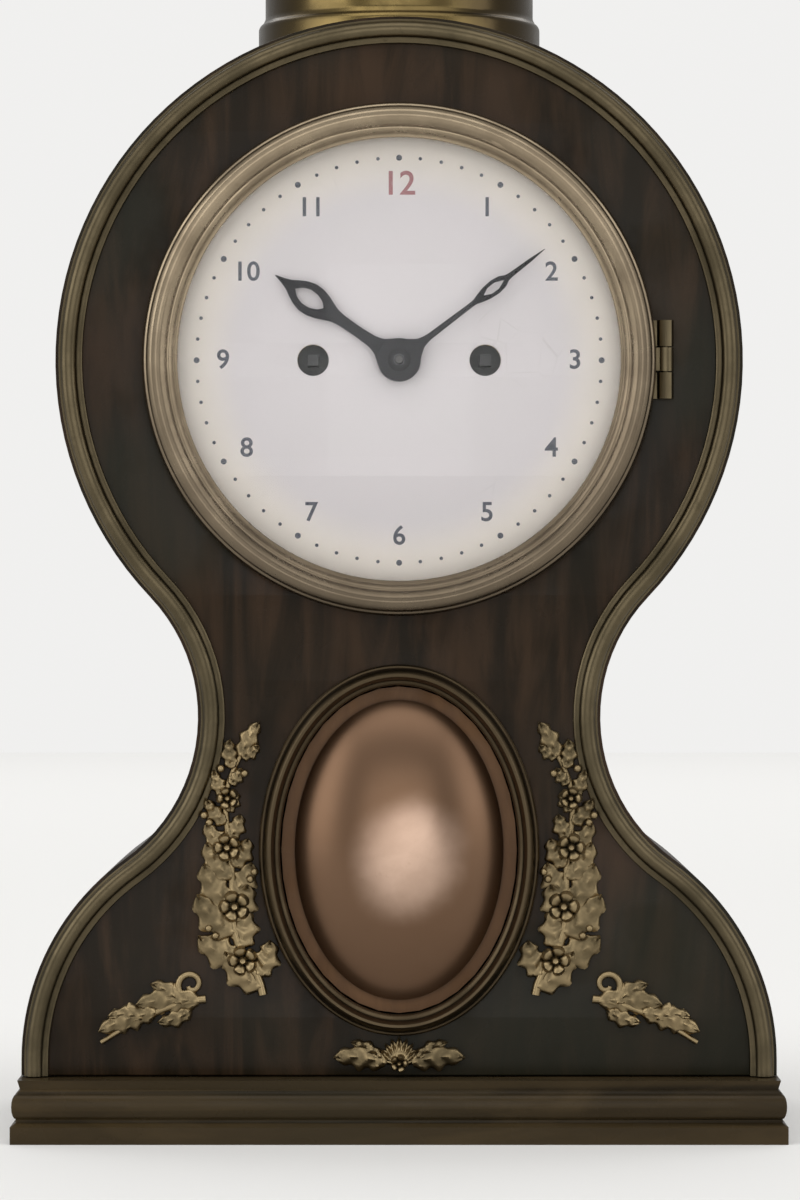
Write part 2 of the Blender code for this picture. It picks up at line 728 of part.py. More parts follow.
def make_mounts():
    """The leaf sprays beside the boss, the long leaves in the lower corners and the shell between."""
    back = FRONT - GAP
    front = back - MOUNT_THICKNESS
    spray = leaf_outline([on_front(*s) for s in SPRAY_SHARES], SPRAY_HALF_WIDTH, SPRAY_LOBES)
    corner = leaf_outline([on_front(*s) for s in CORNER_SHARES], CORNER_HALF_WIDTH, CORNER_LOBES)
    for name, loop in (("spray", spray), ("corner_leaf", corner)):
        flat(name + "_right", [loop], front, back, GILT)
        flat(name + "_left", [mirrored(loop)], front, back, GILT)
    shell_centre = (0.0, BODY_BASE + SHELL_RISE)
    count = SHELL_LOBES * STEPS_A_LOBE
    angles = [i * TURN / count for i in range(count)]
    reach = [
        SHELL_RADIUS * (1 - LOBE_DEPTH_SHARE * (1 + math.cos(SHELL_LOBES * a)) / 4) for a in angles
    ]
    shell = [
        (shell_centre[0] + r * math.cos(a), shell_centre[1] + r * math.sin(a) * SHELL_FLAT_SHARE)
        for r, a in zip(reach, angles)
    ]
    flat("shell_mount", [shell], front, back, GILT)


def make_top():
    """The turned pedestal on the drum, hollowed to sit on its curve, with its cap and finial."""
    crown = DRUM_HEIGHT + DRUM_RADIUS
    seat = DRUM_HEIGHT + math.sqrt(DRUM_RADIUS**2 - SOCLE_RADIUS**2) - SOCLE_FOOT
    top = crown + SOCLE_HEIGHT
    foot_top = crown + SOCLE_FOOT
    foot = SOCLE_RADIUS + SOCLE_FOOT_FLARE
    profile = [
        (0.0, top),
        (SOCLE_RADIUS, top),
        (SOCLE_RADIUS, foot_top),
        (foot, crown),
        (foot, seat),
        (0.0, seat),
    ]
    socle = turned("socle", profile, OLD_BRASS, steps=SOCLE_STEPS, upright=True)
    seat_radius = DRUM_RADIUS + GAP
    drum = [(0.0, -CASE_DEPTH), (seat_radius, -CASE_DEPTH), (seat_radius, CASE_DEPTH), (0.0, CASE_DEPTH)]
    cut_from(socle, [turned("socle_seat", drum, OLD_BRASS, DRUM_CENTRE, SEAT_STEPS)])
    base = top + GAP
    cap = [(CAP_RADIUS * r, base + CAP_HEIGHT * z) for r, z in CAP_SHARES]
    turned("socle_cap", cap, OLD_BRASS, steps=SOCLE_STEPS, upright=True)
    foot = base + CAP_HEIGHT + GAP
    profile = [(FINIAL_RADIUS * r, foot + FINIAL_HEIGHT * z) for r, z in FINIAL_SHARES]
    turned("finial", profile, GILT, steps=FINIAL_STEPS, upright=True)


make_plinth()
make_boards()
make_skins()
make_edge_bead()
make_boss()
make_mounts()
make_top()


# The dial, its glazed bezel and the round door at the back
COLLAR_INSIDE = COLLAR_RADIUS - COLLAR_WALL
HINGE_THIRD = HINGE_LENGTH / 3
BEZEL_HINGE = (BEZEL_RADIUS + HINGE_KNUCKLE + GAP, BEZEL_BACK)
REAR_FLANGE_BACK = BACK + GAP + RING_FLANGE
DOOR_FRONT = REAR_FLANGE_BACK + GAP
DOOR_HINGE = (-(RING_FLANGE_RADIUS + HINGE_KNUCKLE + GAP), DOOR_FRONT)


def tab(name, hinge, reach_to, y_a, y_b, z_low, z_high, look):
    x_low, x_high = sorted((hinge[0], reach_to))
    return box(name, (x_low, min(y_a, y_b), z_low), (x_high, max(y_a, y_b), z_high), look)


def barrel(name, hinge, z_low, z_high, radius, look, bore=0.0):
    """One upright barrel of a hinge, solid or bored for the pin."""
    if bore:
        profile = [(bore, z_high), (radius, z_high), (radius, z_low), (bore, z_low)]
    else:
        profile = [(0.0, z_high), (radius, z_high), (radius, z_low), (0.0, z_low)]
    return turned(name, profile, look, hinge, SMALL_STEPS, upright=True)


def add_hinge(fixed, moving, hinge, leaf, wing, fixed_edge, moving_edge, look):
    """Joins two outer barrels and the pin to the fixed ring, and a bored barrel to the moving one.
    The leaf and the wing give the front and back of the strips that reach the barrels."""
    low = DRUM_HEIGHT - HINGE_LENGTH / 2
    cuts = [low + i * HINGE_THIRD for i in range(4)]
    held = [barrel("pin", hinge, cuts[0] + GAP, cuts[3] - GAP, HINGE_PIN, look)]
    for bottom, top in ((cuts[0], cuts[1]), (cuts[2], cuts[3])):
        held.append(barrel("barrel", hinge, bottom, top, HINGE_KNUCKLE, look))
        held.append(tab("leaf", hinge, fixed_edge, leaf[0], leaf[1], bottom, top, look))
    bottom, top = cuts[1] + GAP, cuts[2] - GAP
    side = math.copysign(HINGE_PIN + GAP + GAP, fixed_edge)
    wing_end = (hinge[0] - side, hinge[1])
    turning = [
        barrel("barrel", hinge, bottom, top, HINGE_KNUCKLE, look, HINGE_PIN + GAP),
        tab("wing", wing_end, moving_edge, wing[0], wing[1], bottom, top, look),
    ]
    return fuse(fixed, held), fuse(moving, turning)


def make_front_ring_and_bezel():
    shelf = DIAL_PLATE_BACK + GAP
    inner = COLLAR_INSIDE - COLLAR_SHELF
    profile = [
        (COLLAR_INSIDE, FLANGE_FRONT),
        (RING_FLANGE_RADIUS, FLANGE_FRONT),
        (RING_FLANGE_RADIUS, FLANGE_BACK),
        (COLLAR_RADIUS, FLANGE_BACK),
        (COLLAR_RADIUS, BOARD_BACK),
        (inner, BOARD_BACK),
        (inner, shelf),
        (COLLAR_INSIDE, shelf),
    ]
    ring = turned("dial_ring", profile, CLEAN_BRASS, DRUM_CENTRE, FINE_STEPS)
    seat = BEZEL_BACK - GLASS_THICKNESS - GAP - GAP
    lip = seat - BEZEL_LIP
    width = BEZEL_RADIUS - SIGHT_RADIUS
    slope = [(SIGHT_RADIUS + width * r, BEZEL_BACK - BEZEL_RISE * s) for r, s in BEZEL_SHARES]
    rebate = SIGHT_RADIUS + COLLAR_WALL
    profile = [(SIGHT_RADIUS, lip)] + slope + [
        (BEZEL_RADIUS, BEZEL_BACK),
        (rebate, BEZEL_BACK),
        (rebate, seat),
        (SIGHT_RADIUS, seat),
    ]
    bezel = turned("bezel", profile, OLD_BRASS, DRUM_CENTRE, FINE_STEPS)
    leaf = (FLANGE_BACK, FLANGE_FRONT)
    wing = (BEZEL_BACK, BEZEL_BACK - HINGE_KNUCKLE)
    fixed_edge = RING_FLANGE_RADIUS - RING_FLANGE
    moving_edge = BEZEL_RADIUS - HINGE_KNUCKLE
    add_hinge(ring, bezel, BEZEL_HINGE, leaf, wing, fixed_edge, moving_edge, CLEAN_BRASS)
    make_glass(rebate - GAP, BEZEL_BACK - GAP)


def make_glass(radius, back):
    """A slightly domed disc held in the bezel's rebate."""
    rim = back - GLASS_THICKNESS
    parts = [i / GLASS_RINGS for i in range(GLASS_RINGS + 1)]
    places = [(radius * part, GLASS_DOME * (1 - part**2)) for part in parts]
    front = [(r, rim - rise) for r, rise in places]
    inside = [(r, back - rise) for r, rise in reversed(places)]
    turned("bezel_glass", front + inside, CRYSTAL, DRUM_CENTRE, FINE_STEPS)


def make_dial():
    """The enamel dial and the brass plate behind it, whose feet stand on the movement."""
    radius = COLLAR_INSIDE - GAP
    winding = [circle(WINDING_HOLE, HOLE_STEPS, (side * WINDING_REACH, 0.0)) for side in (-1, 1)]
    holes = [circle(HOUR_BOSS - HAND_STEP, HOLE_STEPS)] + winding
    rim = circle(radius, FINE_STEPS)
    flat("enamel_dial", [rim] + holes, DIAL_FRONT, DIAL_BACK, ENAMEL, DRUM_CENTRE)
    plate = flat(
        "dial_plate", [rim] + holes, DIAL_BACK + GAP, DIAL_PLATE_BACK, CLEAN_BRASS, DRUM_CENTRE
    )
    feet = []
    root = DIAL_PLATE_BACK - DIAL_PLATE / 2
    end = PLATE_FRONT - GAP
    profile = [(0.0, root), (DIAL_FOOT_RADIUS, root), (DIAL_FOOT_RADIUS, end), (0.0, end)]
    for degrees in DIAL_FOOT_ANGLES:
        at = in_drum(polar(DIAL_FOOT_CIRCLE, degrees))
        feet.append(turned("foot", profile, CLEAN_BRASS, at, SMALL_STEPS))
    fuse(plate, feet)


def hand_outline(length, boss, shares):
    """A hand pointing up from its boss. The shares are (place along the hand, half-width)."""
    side = [(boss * w, length * t) for t, w in shares]
    start = math.radians(HAND_BOSS_START)
    end = math.radians(HAND_BOSS_END)
    around = arc((0.0, 0.0), boss, start, end, HAND_BOSS_STEPS)
    return around + [(-x, z) for x, z in side] + list(reversed(side))


def rotated(points, degrees_clockwise):
    angle = math.radians(-degrees_clockwise)
    c, s = math.cos(angle), math.sin(angle)
    return [(x * c - z * s, x * s + z * c) for x, z in points]


HOUR_HAND_BACK = DIAL_FRONT - HOUR_HAND_FROM_DIAL
HOUR_HAND_FRONT = HOUR_HAND_BACK - HAND_THICKNESS
MINUTE_HAND_BACK = HOUR_HAND_BACK - HAND_STEP
MINUTE_HAND_FRONT = MINUTE_HAND_BACK - HAND_THICKNESS
CANNON_BORE = CENTRE_ARBOR + PIVOT_GAP
CANNON_RADIUS = CANNON_BORE + PIVOT
HOUR_PIPE_BORE = CANNON_RADIUS + PIVOT_GAP
HOUR_PIPE_RADIUS = HOUR_PIPE_BORE + PIVOT


def make_hands():
    hour = rotated(hand_outline(HOUR_LENGTH, HOUR_BOSS, HOUR_SHARES), HOUR_ANGLE)
    hour_bore = circle(HOUR_PIPE_RADIUS + GAP, SMALL_STEPS)
    flat("hour_hand", [hour, hour_bore], HOUR_HAND_FRONT, HOUR_HAND_BACK, BLUED, DRUM_CENTRE)
    minute = rotated(hand_outline(MINUTE_LENGTH, MINUTE_BOSS, MINUTE_SHARES), MINUTE_ANGLE)
    minute_bore = circle(CANNON_RADIUS + GAP, SMALL_STEPS)
    loops = [minute, minute_bore]
    flat("minute_hand", loops, MINUTE_HAND_FRONT, MINUTE_HAND_BACK, BLUED, DRUM_CENTRE)
    back = MINUTE_HAND_FRONT - GAP
    front = back - COLLET_THICKNESS
    profile = [
        (CANNON_BORE, front),
        (COLLET_RADIUS * COLLET_FRONT_SHARE, front),
        (COLLET_RADIUS, back),
        (CANNON_BORE, back),
    ]
    turned("hand_collet", profile, CLEAN_BRASS, DRUM_CENTRE, SMALL_STEPS)


def make_back_ring_and_door():
    collar_front = BACK - BACK_BOARD - REAR_COLLAR_REACH
    profile = [
        (COLLAR_INSIDE, collar_front),
        (COLLAR_RADIUS, collar_front),
        (COLLAR_RADIUS, BACK + GAP),
        (RING_FLANGE_RADIUS, BACK + GAP),
        (RING_FLANGE_RADIUS, REAR_FLANGE_BACK),
        (COLLAR_INSIDE, REAR_FLANGE_BACK),
    ]
    ring = turned("rear_ring", profile, CLEAN_BRASS, DRUM_CENTRE, FINE_STEPS)
    rim = DOOR_RADIUS - DOOR_RIM
    profile = [
        (0.0, DOOR_FRONT + DOOR_RISE),
        (rim - DOOR_RISE, DOOR_FRONT + DOOR_RISE),
        (rim, DOOR_FRONT),
        (DOOR_RADIUS, DOOR_FRONT),
        (DOOR_RADIUS, DOOR_FRONT + DOOR_WALL),
        (rim + DOOR_WALL / 2, DOOR_FRONT + DOOR_WALL),
        (rim - DOOR_RISE + DOOR_WALL / 2, DOOR_FRONT + DOOR_RISE + DOOR_WALL),
        (0.0, DOOR_FRONT + DOOR_RISE + DOOR_WALL),
    ]
    door = turned("rear_door", profile, CLEAN_BRASS, DRUM_CENTRE, FINE_STEPS)
    leaf = (BACK + GAP, REAR_FLANGE_BACK)
    wing = (DOOR_FRONT, DOOR_FRONT + DOOR_WALL)
    fixed_edge = -(RING_FLANGE_RADIUS - RING_FLANGE)
    moving_edge = -(DOOR_RADIUS - HINGE_KNUCKLE)
    add_hinge(ring, door, DOOR_HINGE, leaf, wing, fixed_edge, moving_edge, CLEAN_BRASS)
    knob_base = DOOR_FRONT + DOOR_WALL / 2
    knob_end = DOOR_FRONT + DOOR_WALL + DOOR_KNOB
    knob_middle = (knob_base + knob_end) / 2
    at = in_drum((DOOR_RADIUS - DOOR_RIM / 2, 0.0))
    profile = [
        (0.0, knob_base),
        (DOOR_KNOB * KNOB_NECK_SHARE, knob_base),
        (DOOR_KNOB * KNOB_NECK_SHARE, knob_middle),
        (DOOR_KNOB * KNOB_HEAD_SHARE, knob_middle),
        (DOOR_KNOB * KNOB_FACE_SHARE, knob_end),
        (0.0, knob_end),
    ]
    fuse(bpy.data.objects["rear_door"], [turned("knob", profile, CLEAN_BRASS, at, SMALL_STEPS)])


def make_straps():
    """The two strips that draw the front ring and the back ring together through the case."""
    half = STRAP_THICKNESS / 2
    end = BACK - BACK_BOARD - REAR_COLLAR_REACH - GAP
    for name, side in (("strap_right", 1), ("strap_left", -1)):
        middle = side * (COLLAR_INSIDE + COLLAR_RADIUS) / 2
        low = (middle - half, BOARD_BACK + GAP, DRUM_HEIGHT - STRAP_WIDTH / 2)
        high = (middle + half, end, DRUM_HEIGHT + STRAP_WIDTH / 2)
        box(name, low, high, STEEL)


make_front_ring_and_bezel()
make_dial()
make_hands()
make_back_ring_and_door()
make_straps()


# Gearing
def gear_loop(teeth, module, phase, tooth_shares):
    """A toothed outline, with the first tooth at the phase. The shares give the tooth's width at
    root and tip, in tooth pitches, and how far it stands above and below the pitch circle, in
    modules. A wheel's tooth, whose tip has no width, is pointed and meets the next at the root."""
    root_share, tip_share, above_share, below_share = tooth_shares
    outer = module * (teeth / 2 + above_share)
    inner = module * (teeth / 2 - below_share)
    if tip_share:
        corners = ((inner, -root_share), (outer, -tip_share), (outer, tip_share), (inner, root_share))
    else:
        corners = ((outer, 0.0), (inner, 1.0))
    pitch = TURN / teeth
    loop = []
    for i in range(teeth):
        for radius, share in corners:
            angle = phase + (i + share / 2) * pitch
            loop.append((radius * math.cos(angle), radius * math.sin(angle)))
    return loop


def apart(module, teeth_a, teeth_b):
    return module * (teeth_a + teeth_b) / 2


def meshing_phase(place_a, teeth_a, phase_a, place_b, teeth_b):
    """The phase that puts a gap of wheel b where a tooth of wheel a points at it."""
    towards = direction(place_a, place_b)
    part_of_pitch = (towards - phase_a) * teeth_a / TURN
    return towards + math.pi - (0.5 - part_of_pitch) * TURN / teeth_b


def across(share):
    return INSIDE_FRONT + share * PLATE_SPACING


def gear(name, teeth, module, phase, plane, thickness, at, look, pinion=False):
    shares = PINION_TOOTH_SHARES if pinion else WHEEL_TOOTH_SHARES
    loop = gear_loop(teeth, module, phase, shares)
    return flat(name, [loop], plane - thickness / 2, plane + thickness / 2, look, in_drum(at))


def arbor(name, at, look, radius=ARBOR, back=PLATE_BACK):
    """A turned arbor between the plates, with a thinner pivot through each plate."""
    shoulder_front = INSIDE_FRONT + GAP
    shoulder_back = INSIDE_BACK - GAP
    profile = [
        (0.0, PLATE_FRONT),
        (PIVOT, PLATE_FRONT),
        (PIVOT, shoulder_front),
        (radius, shoulder_front),
        (radius, shoulder_back),
        (PIVOT, shoulder_back),
        (PIVOT, back),
        (0.0, back),
    ]
    return turned(name, profile, look, in_drum(at), SMALL_STEPS)


# Where the arbors stand, from the dial's centre
CENTRE_AT = (0.0, 0.0)
GOING_BARREL_AT = (WINDING_REACH, 0.0)
STRIKE_BARREL_AT = (-WINDING_REACH, 0.0)
BARREL_APART = apart(BARREL_MODULE, BARREL_TEETH, SECOND_PINION_LEAVES)
SECOND_APART = apart(BARREL_MODULE, SECOND_WHEEL_TEETH, CENTRE_PINION_LEAVES)
SECOND_AT = meeting_point(GOING_BARREL_AT, BARREL_APART, CENTRE_AT, SECOND_APART, 1)
STRIKE_SECOND_AT = (-SECOND_AT[0], -SECOND_AT[1])
ANCHOR_AT = (0.0, ANCHOR_HEIGHT)
ESCAPE_AT = (0.0, ANCHOR_HEIGHT - ESCAPE_RADIUS * math.sqrt(2))
THIRD_AT = meeting_point(
    CENTRE_AT,
    apart(CENTRE_MODULE, CENTRE_WHEEL_TEETH, THIRD_PINION_LEAVES),
    ESCAPE_AT,
    apart(THIRD_MODULE, THIRD_WHEEL_TEETH, ESCAPE_PINION_LEAVES),
    -1,
)
PIN_APART = apart(BARREL_MODULE, STRIKE_WHEEL_TEETH, PIN_PINION_LEAVES)
PIN_WHEEL_AT = polar(PIN_APART, PIN_WHEEL_ANGLE, STRIKE_SECOND_AT)
FLY_AT = polar(apart(PIN_MODULE, PIN_WHEEL_TEETH, FLY_PINION_LEAVES), FLY_ANGLE, PIN_WHEEL_AT)
MOTION_APART = apart(MOTION_MODULE, CANNON_TEETH, MINUTE_WHEEL_TEETH)
MINUTE_WHEEL_AT = (0.0, -MOTION_APART)
HAMMER_AT = polar(PLATE_RADIUS - WINDING_HOLE, HAMMER_PIVOT_ANGLE)
HAMMER_HEAD_AT = polar(BELL_RADIUS + HAMMER_HEAD_RADIUS + GAP + GAP, HAMMER_HEAD_ANGLE)


def plate_holes(through):
    """The pivot holes of a movement plate, with wider ones for the arbors that pass through it."""
    going = [GOING_BARREL_AT, SECOND_AT, CENTRE_AT, THIRD_AT, ESCAPE_AT, ANCHOR_AT]
    strike = [STRIKE_BARREL_AT, STRIKE_SECOND_AT, PIN_WHEEL_AT, FLY_AT, HAMMER_AT]
    holes = []
    for place in going + strike:
        radius = through.get(place, PIVOT) + PIVOT_GAP
        holes.append(circle(radius, SMALL_STEPS, place))
    return holes


def make_plates():
    rim = circle(PLATE_RADIUS, FINE_STEPS)
    winding = {GOING_BARREL_AT: WINDING_ARBOR, STRIKE_BARREL_AT: WINDING_ARBOR}
    front_loops = [rim] + plate_holes({CENTRE_AT: CENTRE_ARBOR, **winding})
    back_loops = [rim] + plate_holes({ANCHOR_AT: ARBOR, **winding})
    front = flat("front_plate", front_loops, PLATE_FRONT, INSIDE_FRONT, CLEAN_BRASS, DRUM_CENTRE)
    flat("back_plate", back_loops, INSIDE_BACK, PLATE_BACK, CLEAN_BRASS, DRUM_CENTRE)
    studs = [stud("minute_stud", MINUTE_WHEEL_AT, HOUR_WHEEL_PLANE - WHEEL)]
    for side in (-1, 1):
        studs.append(stud("click_stud", click_place(side), CLICK_FRONT - WHEEL / 2))
    fuse(front, studs)
    start = INSIDE_FRONT + GAP
    end = INSIDE_BACK - GAP
    profile = [(0.0, start), (PILLAR_RADIUS, start), (PILLAR_RADIUS, end), (0.0, end)]
    for i, degrees in enumerate(PILLAR_ANGLES):
        at = in_drum(polar(PILLAR_CIRCLE, degrees))
        turned(f"pillar_{i + 1}", profile, CLEAN_BRASS, at, SMALL_STEPS)


def stud(name, place, front):
    root = PLATE_FRONT + PLATE / 2
    profile = [(0.0, front), (ARBOR, front), (ARBOR, root), (0.0, root)]
    return turned(name, profile, STEEL, in_drum(place), SMALL_STEPS)


# The motion work under the dial
CANNON_PLANE = PLATE_FRONT - GAP - PINION / 2
HOUR_WHEEL_PLANE = CANNON_PLANE - PINION - WHEEL
CLICK_BACK = PLATE_FRONT - GAP
CLICK_FRONT = CLICK_BACK - WHEEL
HOUR_PINION_MODULE = 2 * MOTION_APART / (MINUTE_PINION_TEETH + HOUR_WHEEL_TEETH)


def make_motion_work():
    """The cannon pinion turns the minute wheel, whose pinion turns the hour wheel at a twelfth."""
    profile = [
        (CANNON_BORE, MINUTE_HAND_FRONT),
        (CANNON_RADIUS, MINUTE_HAND_FRONT),
        (CANNON_RADIUS, CANNON_PLANE + PINION / 2),
        (CANNON_BORE, CANNON_PLANE + PINION / 2),
    ]
    cannon = turned("cannon_pinion", profile, STEEL, DRUM_CENTRE, SMALL_STEPS)
    leaves = [gear_loop(CANNON_TEETH, MOTION_MODULE, -math.pi / 2, PINION_TOOTH_SHARES)]
    leaves.append(circle(CANNON_BORE, SMALL_STEPS))
    back = CANNON_PLANE + PINION / 2 - GAP
    fuse(cannon, [flat("leaves", leaves, back - PINION, back, STEEL, DRUM_CENTRE)])
    phase = meshing_phase(CENTRE_AT, CANNON_TEETH, -math.pi / 2, MINUTE_WHEEL_AT, MINUTE_WHEEL_TEETH)
    bore = circle(ARBOR + PIVOT_GAP, SMALL_STEPS)
    wheel_loop = gear_loop(MINUTE_WHEEL_TEETH, MOTION_MODULE, phase, WHEEL_TOOTH_SHARES)
    at = in_drum(MINUTE_WHEEL_AT)
    front = CANNON_PLANE - WHEEL / 2
    wheel = flat("minute_wheel", [wheel_loop, bore], front, front + WHEEL, CLEAN_BRASS, at)
    pinion_loop = gear_loop(MINUTE_PINION_TEETH, HOUR_PINION_MODULE, phase, PINION_TOOTH_SHARES)
    front = HOUR_WHEEL_PLANE - WHEEL
    pinion = flat("pinion", [pinion_loop, bore], front, CANNON_PLANE, CLEAN_BRASS, at)
    fuse(wheel, [pinion])
    phase = meshing_phase(MINUTE_WHEEL_AT, MINUTE_PINION_TEETH, phase, CENTRE_AT, HOUR_WHEEL_TEETH)
    loop = gear_loop(HOUR_WHEEL_TEETH, HOUR_PINION_MODULE, phase, WHEEL_TOOTH_SHARES)
    hole = circle(HOUR_PIPE_BORE, SMALL_STEPS)
    front = HOUR_WHEEL_PLANE - WHEEL / 2
    hour = flat("hour_wheel", [loop, hole], front, front + WHEEL, CLEAN_BRASS, DRUM_CENTRE)
    profile = [
        (HOUR_PIPE_BORE, HOUR_HAND_FRONT),
        (HOUR_PIPE_RADIUS, HOUR_HAND_FRONT),
        (HOUR_PIPE_RADIUS, HOUR_WHEEL_PLANE),
        (HOUR_PIPE_BORE, HOUR_WHEEL_PLANE),
    ]
    fuse(hour, [turned("pipe", profile, CLEAN_BRASS, DRUM_CENTRE, SMALL_STEPS)])


def make_going_train():
    """Barrel, second wheel, centre wheel, third wheel and escape wheel, each in mesh with the next."""
    barrel_phase = direction(GOING_BARREL_AT, SECOND_AT)
    make_barrel("going_barrel", GOING_BARREL_AT, barrel_phase)
    second_phase = meshing_phase(
        GOING_BARREL_AT, BARREL_TEETH, barrel_phase, SECOND_AT, SECOND_PINION_LEAVES
    )
    make_wheel(
        "going_second_wheel",
        SECOND_AT,
        (SECOND_WHEEL_TEETH, BARREL_MODULE, second_phase, across(SECOND_PLANE_SHARE)),
        (SECOND_PINION_LEAVES, BARREL_MODULE, second_phase, across(BARREL_PLANE_SHARE)),
    )
    centre_phase = meshing_phase(
        SECOND_AT, SECOND_WHEEL_TEETH, second_phase, CENTRE_AT, CENTRE_PINION_LEAVES
    )
    make_wheel(
        "centre_wheel",
        CENTRE_AT,
        (CENTRE_WHEEL_TEETH, CENTRE_MODULE, centre_phase, across(CENTRE_PLANE_SHARE)),
        (CENTRE_PINION_LEAVES, BARREL_MODULE, centre_phase, across(SECOND_PLANE_SHARE)),
        front=MINUTE_HAND_FRONT - COLLET_THICKNESS,
    )
    third_phase = meshing_phase(
        CENTRE_AT, CENTRE_WHEEL_TEETH, centre_phase, THIRD_AT, THIRD_PINION_LEAVES
    )
    make_wheel(
        "third_wheel",
        THIRD_AT,
        (THIRD_WHEEL_TEETH, THIRD_MODULE, third_phase, across(THIRD_PLANE_SHARE)),
        (THIRD_PINION_LEAVES, CENTRE_MODULE, third_phase, across(CENTRE_PLANE_SHARE)),
    )
    escape_phase = meshing_phase(
        THIRD_AT, THIRD_WHEEL_TEETH, third_phase, ESCAPE_AT, ESCAPE_PINION_LEAVES
    )
    pinion = (ESCAPE_PINION_LEAVES, THIRD_MODULE, escape_phase, across(THIRD_PLANE_SHARE))
    leaves = gear("leaves", *pinion, PINION, ESCAPE_AT, STEEL, True)
    loop = escape_loop(math.pi / 4 + TURN / ESCAPE_TEETH / 2)
    front = across(ESCAPE_PLANE_SHARE) - WHEEL / 2
    teeth = flat("teeth", [loop], front, front + WHEEL, CLEAN_BRASS, in_drum(ESCAPE_AT))
    fuse(arbor("escape_wheel", ESCAPE_AT, CLEAN_BRASS), [leaves, teeth])


def on_circle(radius, angle):
    return (radius * math.cos(angle), radius * math.sin(angle))


def escape_loop(phase):
    """Pointed teeth that lean forward, as an escape wheel's do."""
    pitch = TURN / ESCAPE_TEETH
    root = ESCAPE_RADIUS * ESCAPE_ROOT_SHARE
    loop = []
    for i in range(ESCAPE_TEETH):
        tip = phase + i * pitch
        loop.append(on_circle(root, tip - pitch * ESCAPE_LEAN_SHARE))
        loop.append(on_circle(ESCAPE_RADIUS, tip))
        loop.append(on_circle(root, tip + pitch * (1 - ESCAPE_LEAN_SHARE) / 4))
    return loop


def make_wheel(name, at, wheel, pinion, front=None):
    """A wheel and a pinion on one arbor, each given as teeth, module, phase and plane. The centre
    arbor goes on through the front plate, as far as its front."""
    disc = gear("disc", *wheel, WHEEL, at, CLEAN_BRASS)
    leaves = gear("leaves", *pinion, PINION, at, STEEL, True)
    if front is None:
        return fuse(arbor(name, at, CLEAN_BRASS), [disc, leaves])
    root = INSIDE_FRONT + WHEEL
    profile = [(0.0, front), (CENTRE_ARBOR, front), (CENTRE_ARBOR, root), (0.0, root)]
    lead = turned("lead", profile, STEEL, in_drum(at), SMALL_STEPS)
    return fuse(arbor(name, at, CLEAN_BRASS, CENTRE_ARBOR), [disc, leaves, lead])


def make_barrel(name, at, phase):
    """A spring barrel: a drum with a toothed end, free on its winding arbor."""
    bore = WINDING_ARBOR + PIVOT_GAP
    start = across(BARREL_PLANE_SHARE)
    end = across(BARREL_END_SHARE)
    drum_radius = BARREL_MODULE * BARREL_TEETH / 2 - 2 * BARREL_MODULE
    profile = [(bore, start), (drum_radius, start), (drum_radius, end), (bore, end)]
    drum = turned(name, profile, CLEAN_BRASS, in_drum(at), ROUND_STEPS)
    rim = gear_loop(BARREL_TEETH, BARREL_MODULE, phase, WHEEL_TOOTH_SHARES)
    loops = [rim, circle(bore, SMALL_STEPS)]
    front = start - WHEEL / 2
    teeth = flat("teeth", loops, front, front + WHEEL, CLEAN_BRASS, in_drum(at))
    return fuse(drum, [teeth])


def click_place(side):
    return (side * (WINDING_REACH + CLICK_OUT), CLICK_UP)


def make_winding(name, side):
    """A winding arbor with its key square and ratchet wheel, and the click that holds it."""
    at = (side * WINDING_REACH, 0.0)
    square_front = DIAL_FRONT - GAP
    square_back = CLICK_FRONT
    profile = [
        (0.0, square_back),
        (WINDING_ARBOR, square_back),
        (WINDING_ARBOR, PLATE_BACK + GAP),
        (0.0, PLATE_BACK + GAP),
    ]
    base = turned(name + "_arbor", profile, STEEL, in_drum(at), SMALL_STEPS)
    half = WINDING_SQUARE / 2
    centre = in_drum(at)
    square = box(
        "square",
        (centre[0] - half, square_front, centre[1] - half),
        (centre[0] + half, square_back + WHEEL / 2, centre[1] + half),
        STEEL,
    )
    ratchet = flat("ratchet", [sided(ratchet_loop(), side)], CLICK_FRONT, CLICK_BACK, STEEL, centre)
    fuse(base, [square, ratchet])
    hole = circle(ARBOR + PIVOT_GAP, SMALL_STEPS)
    loop = sided(click_loop(), side)
    flat(name + "_click", [loop, hole], CLICK_FRONT, CLICK_BACK, STEEL, in_drum(click_place(side)))


def sided(points, side):
    return points if side > 0 else mirrored(points)


def ratchet_loop():
    """Saw teeth whose steep faces meet the click's nose."""
    pitch = TURN / RATCHET_TEETH
    loop = []
    for i in range(RATCHET_TEETH):
        tip = math.pi / 2 + (RATCHET_PHASE_SHARE + i) * pitch
        foot = tip - RATCHET_STEEP_SHARE * pitch
        root = RATCHET_RADIUS * RATCHET_ROOT_SHARE
        loop.append((root * math.cos(foot), root * math.sin(foot)))
        loop.append((RATCHET_RADIUS * math.cos(tip), RATCHET_RADIUS * math.sin(tip)))
    return loop


def click_loop():
    """The click, from its boss to the nose that drops behind a tooth."""
    nose = (-CLICK_OUT, RATCHET_RADIUS * CLICK_NOSE_SHARE - CLICK_UP)
    towards = math.atan2(nose[1], nose[0])
    start = towards + math.radians(CLICK_BOSS_START)
    end = towards + math.radians(CLICK_BOSS_END)
    boss = arc((0.0, 0.0), CLICK_BOSS, start, end, CLICK_BOSS_STEPS)
    out, up = CLICK_SHOULDER_SHARES
    shoulder = (nose[0] - CLICK_BOSS * out, nose[1] + CLICK_BOSS * up)
    out, up = CLICK_THROAT_SHARES
    throat = (nose[0] + CLICK_BOSS * out, nose[1] + CLICK_BOSS * up)
    return boss + [shoulder, nose, throat]


